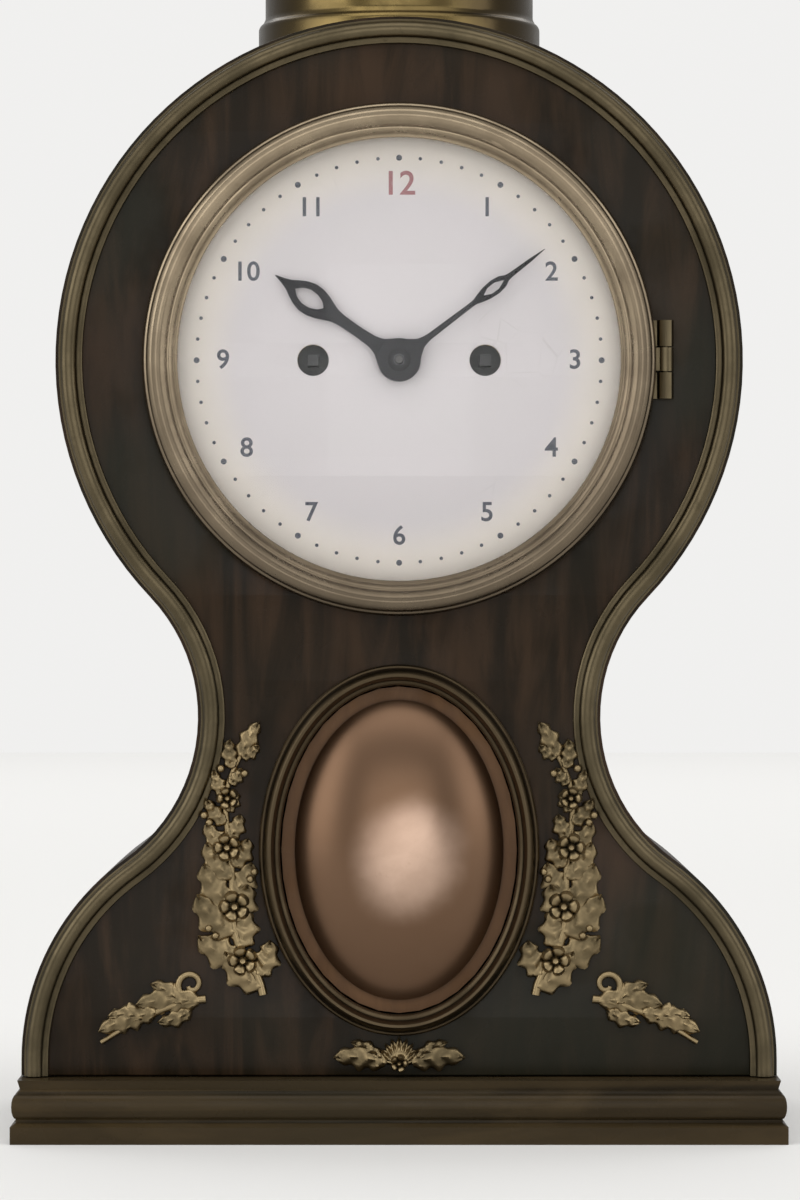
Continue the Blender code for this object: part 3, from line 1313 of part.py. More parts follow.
def make_strike_train():
    """Barrel, second wheel, pin wheel and fly."""
    barrel_phase = direction(STRIKE_BARREL_AT, STRIKE_SECOND_AT)
    make_barrel("strike_barrel", STRIKE_BARREL_AT, barrel_phase)
    second_phase = meshing_phase(
        STRIKE_BARREL_AT, BARREL_TEETH, barrel_phase, STRIKE_SECOND_AT, SECOND_PINION_LEAVES
    )
    make_wheel(
        "strike_second_wheel",
        STRIKE_SECOND_AT,
        (STRIKE_WHEEL_TEETH, BARREL_MODULE, second_phase, across(SECOND_PLANE_SHARE)),
        (SECOND_PINION_LEAVES, BARREL_MODULE, second_phase, across(BARREL_PLANE_SHARE)),
    )
    pin_phase = meshing_phase(
        STRIKE_SECOND_AT, STRIKE_WHEEL_TEETH, second_phase, PIN_WHEEL_AT, PIN_PINION_LEAVES
    )
    pin_wheel = make_wheel(
        "pin_wheel",
        PIN_WHEEL_AT,
        (PIN_WHEEL_TEETH, PIN_MODULE, pin_phase, across(PIN_PLANE_SHARE)),
        (PIN_PINION_LEAVES, BARREL_MODULE, pin_phase, across(SECOND_PLANE_SHARE)),
    )
    fuse(pin_wheel, lifting_pins())
    fly_phase = meshing_phase(
        PIN_WHEEL_AT, PIN_WHEEL_TEETH, pin_phase, FLY_AT, FLY_PINION_LEAVES
    )
    pinion = (FLY_PINION_LEAVES, PIN_MODULE, fly_phase, across(PIN_PLANE_SHARE))
    leaves = gear("leaves", *pinion, PINION, FLY_AT, STEEL, True)
    centre = in_drum(FLY_AT)
    low = (centre[0] - FLY_REACH, across(FLY_START_SHARE), centre[1] - FLY_VANE / 2)
    high = (centre[0] + FLY_REACH, across(FLY_END_SHARE), centre[1] + FLY_VANE / 2)
    fuse(arbor("fly", FLY_AT, STEEL), [leaves, box("vane", low, high, STEEL)])


def lifting_pins():
    """The pins that lift the hammer's tail, which rests between two of them."""
    towards = direction(PIN_WHEEL_AT, HAMMER_AT)
    start = across(PIN_PLANE_SHARE)
    end = start + PIN_LENGTH
    profile = [(0.0, start), (PIN_RADIUS, start), (PIN_RADIUS, end), (0.0, end)]
    pins = []
    for i in range(LIFTING_PINS):
        degrees = math.degrees(towards + (i + 0.5) * TURN / LIFTING_PINS)
        place = in_drum(polar(PIN_CIRCLE, degrees, PIN_WHEEL_AT))
        pins.append(turned("pin", profile, STEEL, place, PIN_STEPS))
    return pins


def make_hammer():
    """The hammer: an arbor with a tail among the pins, and outside the back plate an arm and head."""
    plane = BELL_MOUTH + HAMMER_HEAD_LENGTH / 2
    base = arbor("hammer", HAMMER_AT, STEEL, back=plane)
    pivot = in_drum(HAMMER_AT)
    tail_plane = across(PIN_PLANE_SHARE) + PIN_LENGTH * TAIL_PLANE_SHARE
    towards = math.degrees(direction(PIN_WHEEL_AT, HAMMER_AT))
    tail_end = in_drum(polar(PIN_CIRCLE + PIN_RADIUS * TAIL_REACH_SHARE, towards, PIN_WHEEL_AT))
    tail = level_rod("tail", pivot, tail_end, tail_plane, PIN_RADIUS)
    head_at = in_drum(HAMMER_HEAD_AT)
    arm = level_rod("arm", pivot, head_at, plane - HAMMER_ARM, HAMMER_ARM)
    end = BELL_MOUTH + HAMMER_HEAD_LENGTH
    profile = [(0.0, BELL_MOUTH), (HAMMER_HEAD_RADIUS, BELL_MOUTH), (HAMMER_HEAD_RADIUS, end), (0.0, end)]
    head = turned("head", profile, STEEL, head_at, SMALL_STEPS)
    start = PLATE_BACK + GAP
    profile = [(0.0, start), (HAMMER_ARM, start), (HAMMER_ARM, plane), (0.0, plane)]
    collar = turned("collar", profile, STEEL, pivot, SMALL_STEPS)
    fuse(base, [tail, collar, arm, head])


def level_rod(name, start, end, plane, radius):
    """A straight steel rod from place to place, parallel to the plates."""
    return rod(name, [(start[0], plane, start[1]), (end[0], plane, end[1])], radius, STEEL)


def make_escapement():
    """The anchor on its arbor, with the crutch behind the back plate that drives the pendulum."""
    crutch_plane = PLATE_BACK + GAP + CRUTCH_THICKNESS / 2
    base = arbor("anchor", ANCHOR_AT, STEEL, back=crutch_plane + CRUTCH_THICKNESS / 2)
    centre = in_drum(ANCHOR_AT)
    plane = across(ESCAPE_PLANE_SHARE)
    span = ESCAPE_RADIUS * ANCHOR_SPAN_SHARE
    drop = ESCAPE_RADIUS * ANCHOR_DROP_SHARE
    knee = span * ANCHOR_KNEE_SHARE
    crotch = span * ANCHOR_CROTCH_SHARE
    tip = (span * PALLET_INNER_SHARES[0], -drop * PALLET_INNER_SHARES[1])
    half_loop = [(0.0, ANCHOR_BACK * ANCHOR_CROWN_SHARE), (knee, ANCHOR_BACK), (span, -drop)]
    half_loop += [tip, (crotch, -ANCHOR_BACK)]
    loop = half_loop + mirrored(half_loop[1:])
    body = flat("pallets", [loop], plane - WHEEL, plane + WHEEL, STEEL, centre)
    low = CRUTCH_LENGTH
    half = CRUTCH_THICKNESS / 2
    arm = box(
        "arm",
        (centre[0] - half, crutch_plane - half, centre[1] - low),
        (centre[0] + half, crutch_plane + half, centre[1] + half),
        STEEL,
    )
    prongs = []
    for side in (-1, 1):
        x = side * (PENDULUM_ROD + GAP + half)
        prongs.append(
            box(
                "prong",
                (x - half, crutch_plane - half, centre[1] - low - half),
                (x + half, PENDULUM_PLANE + PENDULUM_ROD, centre[1] - low + half),
                STEEL,
            )
        )
    reach = PENDULUM_ROD + GAP + half
    bridge_half = half * BRIDGE_SHARE
    bridge = box(
        "bridge",
        (-reach - half / 2, crutch_plane - bridge_half, centre[1] - low - bridge_half),
        (reach + half / 2, crutch_plane + bridge_half, centre[1] - low + bridge_half),
        STEEL,
    )
    fuse(base, [body, arm, bridge] + prongs)


def make_pendulum():
    """The pendulum hangs by its spring from the cock, with a lens-shaped bob on its rod."""
    centre = in_drum(ANCHOR_AT)
    top = centre[1] + SPRING_RISE
    bob_height = centre[1] - PENDULUM_LENGTH
    end = bob_height - BOB_RADIUS - ROD_END
    profile = [(0.0, top), (PENDULUM_ROD, top), (PENDULUM_ROD, end), (0.0, end)]
    hanging = (0.0, PENDULUM_PLANE)
    made_rod = turned("pendulum_rod", profile, STEEL, hanging, SMALL_STEPS, upright=True)
    move_origin(made_rod, centre[1])
    front = [(BOB_RADIUS * r, PENDULUM_PLANE - BOB_THICKNESS * t) for r, t in LENS_SHARES]
    back = [(BOB_RADIUS * r, PENDULUM_PLANE + BOB_THICKNESS * t) for r, t in reversed(LENS_SHARES)]
    bob = turned("pendulum_bob", front + back, CLEAN_BRASS, (0.0, bob_height), SOCLE_STEPS)
    hole_radius = PENDULUM_ROD + GAP
    high = bob_height + BOB_RADIUS + OVERRUN
    low = bob_height - BOB_RADIUS - OVERRUN
    profile = [(0.0, high), (hole_radius, high), (hole_radius, low), (0.0, low)]
    cut_from(bob, [turned("bob_hole", profile, STEEL, hanging, SMALL_STEPS, upright=True)])
    nut_top = bob_height - BOB_RADIUS - GAP
    profile = [
        (PENDULUM_ROD + GAP / 3, nut_top),
        (NUT_RADIUS, nut_top),
        (NUT_RADIUS, nut_top - NUT_HEIGHT),
        (PENDULUM_ROD + GAP / 3, nut_top - NUT_HEIGHT),
    ]
    turned("rating_nut", profile, CLEAN_BRASS, hanging, SMALL_STEPS, upright=True)


def move_origin(obj, height):
    """Puts the origin of an upright turned piece at the given height, with the piece where it was."""
    for vertex in obj.data.vertices:
        vertex.co.z -= height
    obj.location.z = height


def make_cock():
    """The cock at the top of the back plate, from which the pendulum hangs."""
    centre = in_drum(ANCHOR_AT)
    bottom = centre[1] + SPRING_RISE + GAP
    half = COCK_WIDTH / 2
    low = (-half, PLATE_BACK + GAP, bottom)
    high = (half, PENDULUM_PLANE + COCK_WIDTH / 3, bottom + COCK_HEIGHT)
    box("suspension_cock", low, high, CLEAN_BRASS)


def make_bell():
    """A bell with its mouth to the movement, held from behind by a bent standard and a nut."""
    outer = [(BELL_RADIUS * r, BELL_MOUTH + BELL_DEPTH * d) for r, d in BELL_SHARES]
    outer.append((0.0, BELL_MOUTH + BELL_DEPTH))
    thin = BELL_RADIUS - BELL_WALL
    deep = BELL_DEPTH - BELL_WALL
    inner = [(thin * r, BELL_MOUTH + deep * d) for r, d in BELL_SHARES]
    inner.append((0.0, BELL_MOUTH + deep))
    turned("bell", list(reversed(inner)) + outer, BELL_METAL, DRUM_CENTRE, BELL_STEPS)
    back = BELL_MOUTH + BELL_DEPTH + GAP
    start = in_drum(polar(STANDARD_CIRCLE, STANDARD_ANGLE))
    plane = back + STANDARD_RADIUS
    corner = STANDARD_RADIUS * 2
    near, far = STANDARD_BEND_SHARES
    points = [
        (start[0], PLATE_BACK + GAP, start[1]),
        (start[0], plane - corner, start[1]),
        (start[0] - corner * near[0], plane - corner * near[1], start[1] + corner * near[1]),
        (start[0] - corner * far[0], plane, start[1] + corner * far[1]),
        (0.0, plane, DRUM_HEIGHT),
    ]
    rod("bell_standard", points, STANDARD_RADIUS, STEEL)


make_plates()
make_motion_work()
make_going_train()
make_strike_train()
make_winding("going", 1)
make_winding("strike", -1)
make_escapement()
make_cock()
make_pendulum()
make_hammer()
make_bell()
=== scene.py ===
import math

import bmesh
import bpy
from mathutils import Matrix, Vector


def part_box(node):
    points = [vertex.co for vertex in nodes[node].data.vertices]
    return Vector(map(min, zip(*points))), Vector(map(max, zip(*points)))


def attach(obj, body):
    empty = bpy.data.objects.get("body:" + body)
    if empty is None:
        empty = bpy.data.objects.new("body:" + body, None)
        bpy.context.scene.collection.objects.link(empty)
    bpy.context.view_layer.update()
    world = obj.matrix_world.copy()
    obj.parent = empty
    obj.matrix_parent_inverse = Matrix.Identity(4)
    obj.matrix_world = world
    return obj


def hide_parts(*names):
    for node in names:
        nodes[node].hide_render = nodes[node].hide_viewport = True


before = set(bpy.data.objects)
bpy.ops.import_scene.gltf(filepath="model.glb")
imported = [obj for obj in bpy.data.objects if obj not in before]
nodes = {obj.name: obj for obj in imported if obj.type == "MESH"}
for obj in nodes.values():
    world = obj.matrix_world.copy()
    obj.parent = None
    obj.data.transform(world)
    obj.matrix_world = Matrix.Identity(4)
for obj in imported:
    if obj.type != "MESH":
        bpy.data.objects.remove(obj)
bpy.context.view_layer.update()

# heights and depths that several pieces share, in metres
clock = {"dialHeight": 0.1794, "bossHeight": 0.0667, "bodyBase": 0.0148, "front": -0.046, "back": 0.046,
         "gap": 0.0003}

onFront = clock["front"] - clock["gap"]  # mounts and mouldings sit here, just off the front board

# the case outline: drum, waist and shoulder are three tangent arcs
outline = {
    "drumRadius": 0.0791,
    "waistRadius": 0.04011,
    "shoulderRadius": 0.0568,
    "shoulderReach": 0.0301,
    "shoulderHeight": 0.0184,
    "stepsPerArc": 44,
}

# how near points are before they merge, and the turn between faces that softening and flattening go by
limits = {"merge": 1e-6, "spinMerge": 1e-7, "copyMerge": 2e-6, "flat": 0.6, "hard": 40, "manySided": 8,
          "cornerShare": 0.45}

# how many steps go round each turned piece or hole
around = {"hinge": 24, "pipe": 24, "handBoss": 30, "collet": 32, "pillar": 32, "centre": 32, "winding": 40,
          "hole": 96, "pane": 96, "pedestal": 96, "dome": 128, "bezel": 144, "dial": 160, "frame": 160}

faceFront = Matrix.Rotation(math.pi / 2, 4, "X")  # a piece drawn face up then looks at the front


# small helpers

def meetingPoint(p, fromP, q, fromQ):
    # where two circles round p and q cross
    apart = math.dist(p, q)
    along = (fromP**2 - fromQ**2 + apart**2) / (2 * apart)
    off = math.sqrt(fromP**2 - along**2)
    ux, uz = (q[0] - p[0]) / apart, (q[1] - p[1]) / apart
    return (p[0] + along * ux - off * uz, p[1] + along * uz + off * ux)


def arcPoints(centre, radius, start, end, steps):
    turns = [start + (end - start) * i / steps for i in range(steps + 1)]
    return [(centre[0] + radius * math.cos(a), centre[1] + radius * math.sin(a)) for a in turns]


def halfOutline(inset=0.0, split=0.0):
    # the right half, from the plinth up to the crown
    o = outline
    drumAt = (0.0, clock["dialHeight"])
    shoulderAt = (o["shoulderReach"], o["shoulderHeight"])
    waistAt = meetingPoint(drumAt, o["drumRadius"] + o["waistRadius"],
                           shoulderAt, o["shoulderRadius"] + o["waistRadius"])
    fromShoulder = math.atan2(waistAt[1] - shoulderAt[1], waistAt[0] - shoulderAt[0])
    fromDrum = math.atan2(waistAt[1] - drumAt[1], waistAt[0] - drumAt[0])
    drum = o["drumRadius"] - inset
    waist = o["waistRadius"] + inset
    shoulder = o["shoulderRadius"] - inset
    n = o["stepsPerArc"]
    points = [(o["shoulderReach"] + shoulder, clock["bodyBase"])]
    points += arcPoints(shoulderAt, shoulder, 0.0, fromShoulder, n // 2)
    points += arcPoints(waistAt, waist, fromShoulder + math.pi, fromDrum + math.pi, n // 2)[1:]
    points += arcPoints(drumAt, drum, fromDrum, math.pi / 2 - split / drum, n)[1:]
    return points


def mirrored(points):
    return [(-x, z) for x, z in reversed(points)]


def wholeOutline(inset=0.0):
    right = halfOutline(inset)
    return right + mirrored(right[:-1])


def ovalPoints(halfWidth, halfHeight, steps, centre=(0.0, 0.0)):
    turns = [2 * math.pi * i / steps for i in range(steps)]
    return [(centre[0] + halfWidth * math.cos(a), centre[1] + halfHeight * math.sin(a)) for a in turns]


def circlePoints(radius, steps, centre=(0.0, 0.0)):
    return ovalPoints(radius, radius, steps, centre)


def scaled(shares, wide, tall, base=0.0):
    # a profile given in shares of its width and height
    return [(wide * across, base + tall * up) for across, up in shares]


def addToScene(name, data):
    thing = bpy.data.objects.new(name, data)
    bpy.context.scene.collection.objects.link(thing)
    return thing


def addPiece(name, shape, look, body, stands, sharp=32, keepNormals=False):
    bmesh.ops.remove_doubles(shape, verts=shape.verts, dist=limits["merge"])
    if not keepNormals:
        bmesh.ops.recalc_face_normals(shape, faces=shape.faces)
    mesh = bpy.data.meshes.new(name)
    shape.to_mesh(mesh)
    shape.free()
    mesh.shade_smooth()
    mesh.set_sharp_from_angle(angle=math.radians(sharp))
    if keepNormals:
        # the edges round flat, many-sided faces stay crisp, so that the flats aren't shaded as dents
        wide = [face for face in mesh.polygons if len(face.vertices) > limits["manySided"]]
        crisp = {key for face in wide for key in face.edge_keys}
        for edge in mesh.edges:
            edge.use_edge_sharp = edge.use_edge_sharp or edge.key in crisp
    mesh.materials.append(looks[look])
    piece = addToScene(name, mesh)
    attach(piece, body)
    if stands:
        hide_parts(*stands)


def paintNode(node, look):
    # a solid that stays in sight gets its finish
    nodes[node].data.materials.clear()
    nodes[node].data.materials.append(looks[look])


def ofKind(made, kind):
    return [item for item in made["geom"] if isinstance(item, kind)]


def openEdges(shape):
    return [edge for edge in shape.edges if edge.is_boundary]


def soften(shape, edges, width, steps):
    bmesh.ops.bevel(shape, geom=edges, offset=width, offset_type="OFFSET", segments=steps,
                    profile=0.5, affect="EDGES", clamp_overlap=True, material=-1)


def spun(profile, steps):
    # turns (radius, height) points round the upright axis; a profile off the axis is closed to a ring
    shape = bmesh.new()
    made = [shape.verts.new((radius, 0.0, height)) for radius, height in profile]
    edges = [shape.edges.new(pair) for pair in zip(made, made[1:])]
    if profile[0][0] > 0 and profile[-1][0] > 0:
        edges.append(shape.edges.new((made[-1], made[0])))
    bmesh.ops.spin(shape, geom=made + edges, axis=(0, 0, 1), cent=(0, 0, 0), angle=2 * math.pi,
                   steps=steps, use_merge=True, use_duplicate=False)
    bmesh.ops.remove_doubles(shape, verts=shape.verts, dist=limits["spinMerge"])
    return shape


def rounded(profile, radius, steps):
    # softens the corners of a turned profile, keeping its two ends
    soft = [profile[0]]
    for before, here, after in zip(profile, profile[1:], profile[2:]):
        inLength = math.dist(before, here)
        outLength = math.dist(here, after)
        r = min(radius, inLength * limits["cornerShare"], outLength * limits["cornerShare"])
        a = [here[k] + (before[k] - here[k]) * r / inLength for k in (0, 1)]
        b = [here[k] + (after[k] - here[k]) * r / outLength for k in (0, 1)]
        for i in range(steps + 1):
            t = i / steps
            soft.append(tuple((1 - t) ** 2 * a[k] + 2 * t * (1 - t) * here[k] + t * t * b[k]
                              for k in (0, 1)))
    return soft + [profile[-1]]


def placed(shape, x=0.0, y=0.0, z=0.0, turned=True):
    if turned:
        shape.transform(faceFront)
    shape.transform(Matrix.Translation((x, y, z)))
    return shape


def shapeOfCurve(curve):
    # a flat curve or words, made a mesh before they are placed
    helper = addToScene(curve.name, curve)
    bpy.context.view_layer.update()
    mesh = bpy.data.meshes.new_from_object(helper.evaluated_get(bpy.context.evaluated_depsgraph_get()))
    bpy.data.objects.remove(helper)
    shape = bmesh.new()
    shape.from_mesh(mesh)
    bpy.data.meshes.remove(mesh)
    return shape


def flatShape(loops, frontY, backY, edge, edgeSteps=2):
    # a board with holes: a filled flat curve, stood up to face the front
    curve = bpy.data.curves.new("flatShape", "CURVE")
    curve.dimensions = "2D"
    curve.fill_mode = "BOTH"
    curve.extrude = (backY - frontY) / 2 - edge
    curve.bevel_depth = edge
    curve.bevel_resolution = edgeSteps
    curve.offset = -edge
    for number, loop in enumerate(loops):
        area = sum(a[0] * b[1] - b[0] * a[1] for a, b in zip(loop, loop[1:] + loop[:1]))
        if (area > 0) != (number == 0):
            loop = loop[::-1]
        spline = curve.splines.new("POLY")
        spline.points.add(len(loop) - 1)
        spline.use_cyclic_u = True
        for point, (x, z) in zip(spline.points, loop):
            point.co = (x, z, 0.0, 1.0)
    shape = shapeOfCurve(curve)
    bmesh.ops.remove_doubles(shape, verts=shape.verts, dist=limits["merge"])
    return placed(shape, y=(frontY + backY) / 2)


def copyOf(node, edge):
    # the solid's own mesh, merged, with its flat faces made whole and its edges softened
    shape = bmesh.new()
    shape.from_mesh(nodes[node].data)
    bmesh.ops.remove_doubles(shape, verts=shape.verts, dist=limits["copyMerge"])
    bmesh.ops.dissolve_limit(shape, angle_limit=math.radians(limits["flat"]), verts=shape.verts,
                             edges=shape.edges)
    bend = math.radians(limits["hard"])
    soften(shape, [e for e in shape.edges if e.is_manifold and e.calc_face_angle(0.0) > bend], edge, 2)
    return shape


def joinShapes(target, other):
    mesh = bpy.data.meshes.new("join")
    other.to_mesh(mesh)
    other.free()
    target.from_mesh(mesh)
    bpy.data.meshes.remove(mesh)


def boxShape(low, high, edge):
    shape = bmesh.new()
    bmesh.ops.create_cube(shape, size=1.0)
    bmesh.ops.scale(shape, vec=[b - a for a, b in zip(low, high)], verts=shape.verts)
    bmesh.ops.translate(shape, vec=[(a + b) / 2 for a, b in zip(low, high)], verts=shape.verts)
    soften(shape, shape.edges[:], edge, 3)
    return shape


print("helpers ready")


# shared effects, as node groups

def newGroup(name, inputs, outputs):
    made = bpy.data.node_groups.new(name, "ShaderNodeTree")
    for label, kind, value in inputs:
        socket = made.interface.new_socket(label, in_out="INPUT", socket_type="NodeSocket" + kind)
        if value is not None:
            socket.default_value = value
    for label, kind in outputs:
        made.interface.new_socket(label, in_out="OUTPUT", socket_type="NodeSocket" + kind)
    return made, made.nodes.new("NodeGroupInput").outputs, made.nodes.new("NodeGroupOutput").inputs


def setValues(sockets, values):
    for label, value in values.items():
        sockets[label].default_value = value


def noise(tree, vector, scale, detail, roughness=0.55, distortion=0.0):
    node = tree.nodes.new("ShaderNodeTexNoise")
    setValues(node.inputs, {"Scale": scale, "Detail": detail, "Roughness": roughness,
                            "Distortion": distortion})
    tree.links.new(vector, node.inputs["Vector"])
    return node.outputs["Fac"]


def ramp(tree, factor, low, high):
    node = tree.nodes.new("ShaderNodeMapRange")
    node.interpolation_type = "SMOOTHSTEP"
    setValues(node.inputs, {"From Min": low, "From Max": high})
    tree.links.new(factor, node.inputs["Value"])
    return node.outputs["Result"]


def mask(tree, vector, scale, detail, low, high, roughness=0.55, distortion=0.0):
    # clouds of noise, cut off softly below low and above high
    return ramp(tree, noise(tree, vector, scale, detail, roughness, distortion), low, high)


def mathNode(tree, operation, a, b):
    node = tree.nodes.new("ShaderNodeMath")
    node.operation = operation
    for socket, value in zip(node.inputs, (a, b)):
        if isinstance(value, (int, float)):
            socket.default_value = value
        else:
            tree.links.new(value, socket)
    return node.outputs[0]


def times(tree, a, b):
    return mathNode(tree, "MULTIPLY", a, b)


def plus(tree, a, b):
    return mathNode(tree, "ADD", a, b)


def mixColours(tree, factor, a, b):
    # a colour is a socket, or red, green and blue
    node = tree.nodes.new("ShaderNodeMix")
    node.data_type = "RGBA"
    tree.links.new(factor, node.inputs[0])
    for socket, value in ((node.inputs[6], a), (node.inputs[7], b)):
        if isinstance(value, tuple):
            socket.default_value = (*value, 1.0)
        else:
            tree.links.new(value, socket)
    return node.outputs[2]


def mapped(tree, vector, scale=(1.0, 1.0, 1.0), move=(0.0, 0.0, 0.0), turn=(0.0, 0.0, 0.0)):
    node = tree.nodes.new("ShaderNodeMapping")
    setValues(node.inputs, {"Scale": scale, "Location": move, "Rotation": turn})
    tree.links.new(vector, node.inputs["Vector"])
    return node.outputs[0]


def axisDistance(tree, vector, x=0.0, z=0.0, wide=1.0, tall=1.0):
    # how far a point is from a front-to-back axis, in shares of a width and a height
    share = mapped(tree, vector, (1 / wide, 0.0, 1 / tall), (-x / wide, 0.0, -z / tall))
    length = tree.nodes.new("ShaderNodeVectorMath")
    length.operation = "LENGTH"
    tree.links.new(share, length.inputs[0])
    return length.outputs["Value"]


# noise: scale, detail, roughness, distortion; a mask has where it starts and ends after its detail
grain = {"bands": (95.0, 6.0, 0.6, 0.8), "bandStretch": (1.0, 1.0, 0.16), "bandEdges": (0.38, 0.66),
         "pores": (900.0, 3.0, 0.7), "poreStretch": (1.0, 1.0, 0.05), "poreHeight": 0.5,
         "clouds": (22.0, 3.0), "cloudEdges": (0.35, 0.7), "cloudDepth": 0.35, "cloudHeight": 0.8,
         "patches": (13.0, 2.0, 0.46, 0.64), "patchDepth": 0.6, "rubs": (60.0, 5.0, 0.45, 0.7),
         "gloss": 0.26}
patina = {"clouds": (55.0, 6.0, 0.36, 0.66, 0.62, 0.3), "cloudHeight": 0.3, "fine": (240.0, 5.0, 0.6),
          "fineHeight": 0.5, "specks": (420.0, 4.0, 0.56, 0.72, 0.6), "speckDepth": 0.6}
rubs = {"edges": (0.505, 0.56), "hollows": (0.495, 0.44)}  # pointiness from which edges and hollows show


def buildWoodGroup():
    made, given, out = newGroup(
        "woodFigure",
        [("Vector", "Vector", None), ("Light", "Color", None), ("Dark", "Color", None),
         ("Cast", "Color", None), ("Wear", "Float", 0.3)],
        [("Color", "Color"), ("Roughness", "Float"), ("Height", "Float")])
    g = grain
    vector = given["Vector"]
    bands = noise(made, mapped(made, vector, g["bandStretch"]), *g["bands"])
    cloud = noise(made, vector, *g["clouds"])
    pores = noise(made, mapped(made, vector, g["poreStretch"]), *g["pores"])
    colour = mixColours(made, ramp(made, bands, *g["bandEdges"]), given["Dark"], given["Light"])
    shade = times(made, ramp(made, cloud, *g["cloudEdges"]), g["cloudDepth"])
    colour = mixColours(made, shade, colour, given["Dark"])
    patches = times(made, mask(made, vector, *g["patches"]), g["patchDepth"])
    made.links.new(mixColours(made, patches, colour, given["Cast"]), out["Color"])
    worn = times(made, mask(made, vector, *g["rubs"]), given["Wear"])
    made.links.new(plus(made, worn, g["gloss"]), out["Roughness"])
    height = plus(made, times(made, pores, g["poreHeight"]), times(made, cloud, g["cloudHeight"]))
    made.links.new(height, out["Height"])
    return made


def buildMetalGroup():
    # tarnish in clouds, dark grime specks and a slightly uneven surface
    made, given, out = newGroup(
        "agedMetal",
        [("Vector", "Vector", None), ("Metal", "Color", None), ("Tarnish", "Color", None),
         ("Amount", "Float", 0.5), ("Smooth", "Float", 0.25), ("Dull", "Float", 0.5)],
        [("Color", "Color"), ("Roughness", "Float"), ("Height", "Float")])
    p = patina
    vector = given["Vector"]
    cloud = mask(made, vector, *p["clouds"])
    specks = times(made, mask(made, vector, *p["specks"]), p["speckDepth"])
    tarnish = times(made, mathNode(made, "MAXIMUM", cloud, specks), given["Amount"])
    made.links.new(mixColours(made, tarnish, given["Metal"], given["Tarnish"]), out["Color"])
    spread = mathNode(made, "SUBTRACT", given["Dull"], given["Smooth"])
    made.links.new(plus(made, given["Smooth"], times(made, tarnish, spread)), out["Roughness"])
    fine = times(made, noise(made, vector, *p["fine"]), p["fineHeight"])
    made.links.new(plus(made, fine, times(made, cloud, p["cloudHeight"])), out["Height"])
    return made


def buildWearGroup():
    # raised edges rub bright and the hollows keep their dirt
    made, given, out = newGroup("rubbedEdges", [("Amount", "Float", 0.5), ("Hollows", "Float", 0.5)],
                                [("Edges", "Float"), ("Dirt", "Float")])
    point = made.nodes.new("ShaderNodeNewGeometry").outputs["Pointiness"]
    made.links.new(times(made, ramp(made, point, *rubs["edges"]), given["Amount"]), out["Edges"])
    made.links.new(times(made, ramp(made, point, *rubs["hollows"]), given["Hollows"]), out["Dirt"])
    return made


def buildBrushGroup():
    # fine rings left by the lathe, round the axis that the vector is centred on
    made, given, out = newGroup("latheRings", [("Vector", "Vector", None), ("Scale", "Float", 900.0)],
                                [("Height", "Float")])
    rings = made.nodes.new("ShaderNodeTexNoise")
    rings.noise_dimensions = "1D"
    rings.inputs["Detail"].default_value = 2.0
    made.links.new(axisDistance(made, given["Vector"]), rings.inputs["W"])
    made.links.new(given["Scale"], rings.inputs["Scale"])
    made.links.new(rings.outputs["Fac"], out["Height"])
    return made


woodGroup = buildWoodGroup()
metalGroup = buildMetalGroup()
wearGroup = buildWearGroup()
brushGroup = buildBrushGroup()


def newMaterial(name):
    made = bpy.data.materials.new(name)
    made.use_nodes = True
    tree = made.node_tree
    place = tree.nodes.new("ShaderNodeTexCoord").outputs["Object"]
    return made, tree, tree.nodes["Principled BSDF"].inputs, place


def useGroup(tree, group, **values):
    node = tree.nodes.new("ShaderNodeGroup")
    node.node_tree = group
    for label, value in values.items():
        socket = node.inputs[label]
        if isinstance(value, bpy.types.NodeSocket):
            tree.links.new(value, socket)
        elif isinstance(value, tuple):
            socket.default_value = (*value, 1.0)
        else:
            socket.default_value = value
    return node.outputs


def addBump(tree, shader, height, strength, distance=0.0002):
    bump = tree.nodes.new("ShaderNodeBump")
    setValues(bump.inputs, {"Strength": strength, "Distance": distance})
    tree.links.new(height, bump.inputs["Height"])
    tree.links.new(bump.outputs["Normal"], shader["Normal"])


def tinted(colour, share):
    return tuple(min(1.0, part * share) for part in colour)


woodFinish = {"specular": 0.08, "coatRoughness": 0.2, "bump": 0.25, "edgeLight": 2.2, "dirtDark": 0.4}


def woodMaterial(name, light, dark, wear=0.3, coat=0.05, turnGrain=(0.0, 0.0, 0.0), rubbed=0.25,
                 hollows=0.6, cast=None):
    made, tree, shader, place = newMaterial(name)
    figure = useGroup(tree, woodGroup, Vector=mapped(tree, place, turn=turnGrain), Light=light, Dark=dark,
                      Cast=cast or dark, Wear=wear)
    worn = useGroup(tree, wearGroup, Amount=rubbed, Hollows=hollows)
    colour = mixColours(tree, worn["Edges"], figure["Color"], tinted(light, woodFinish["edgeLight"]))
    colour = mixColours(tree, worn["Dirt"], colour, tinted(dark, woodFinish["dirtDark"]))
    tree.links.new(colour, shader["Base Color"])
    tree.links.new(figure["Roughness"], shader["Roughness"])
    setValues(shader, {"Specular IOR Level": woodFinish["specular"], "Coat Weight": coat,
                       "Coat Roughness": woodFinish["coatRoughness"]})
    addBump(tree, shader, figure["Height"], woodFinish["bump"])
    return made


# the rim keys blend a metal to its rim colour toward an oval's rim; on most metals that use it this paints
# shade
metalFinish = {"grime": (0.02, 0.015, 0.008), "edgeLight": 1.5, "grimeRough": 0.3, "rimNoise": (60.0, 3.0),
               "rimUneven": 0.3, "rimEdges": (0.38, 0.88), "rimDepth": 0.92, "lines": 2200.0,
               "lineDepth": 0.5}


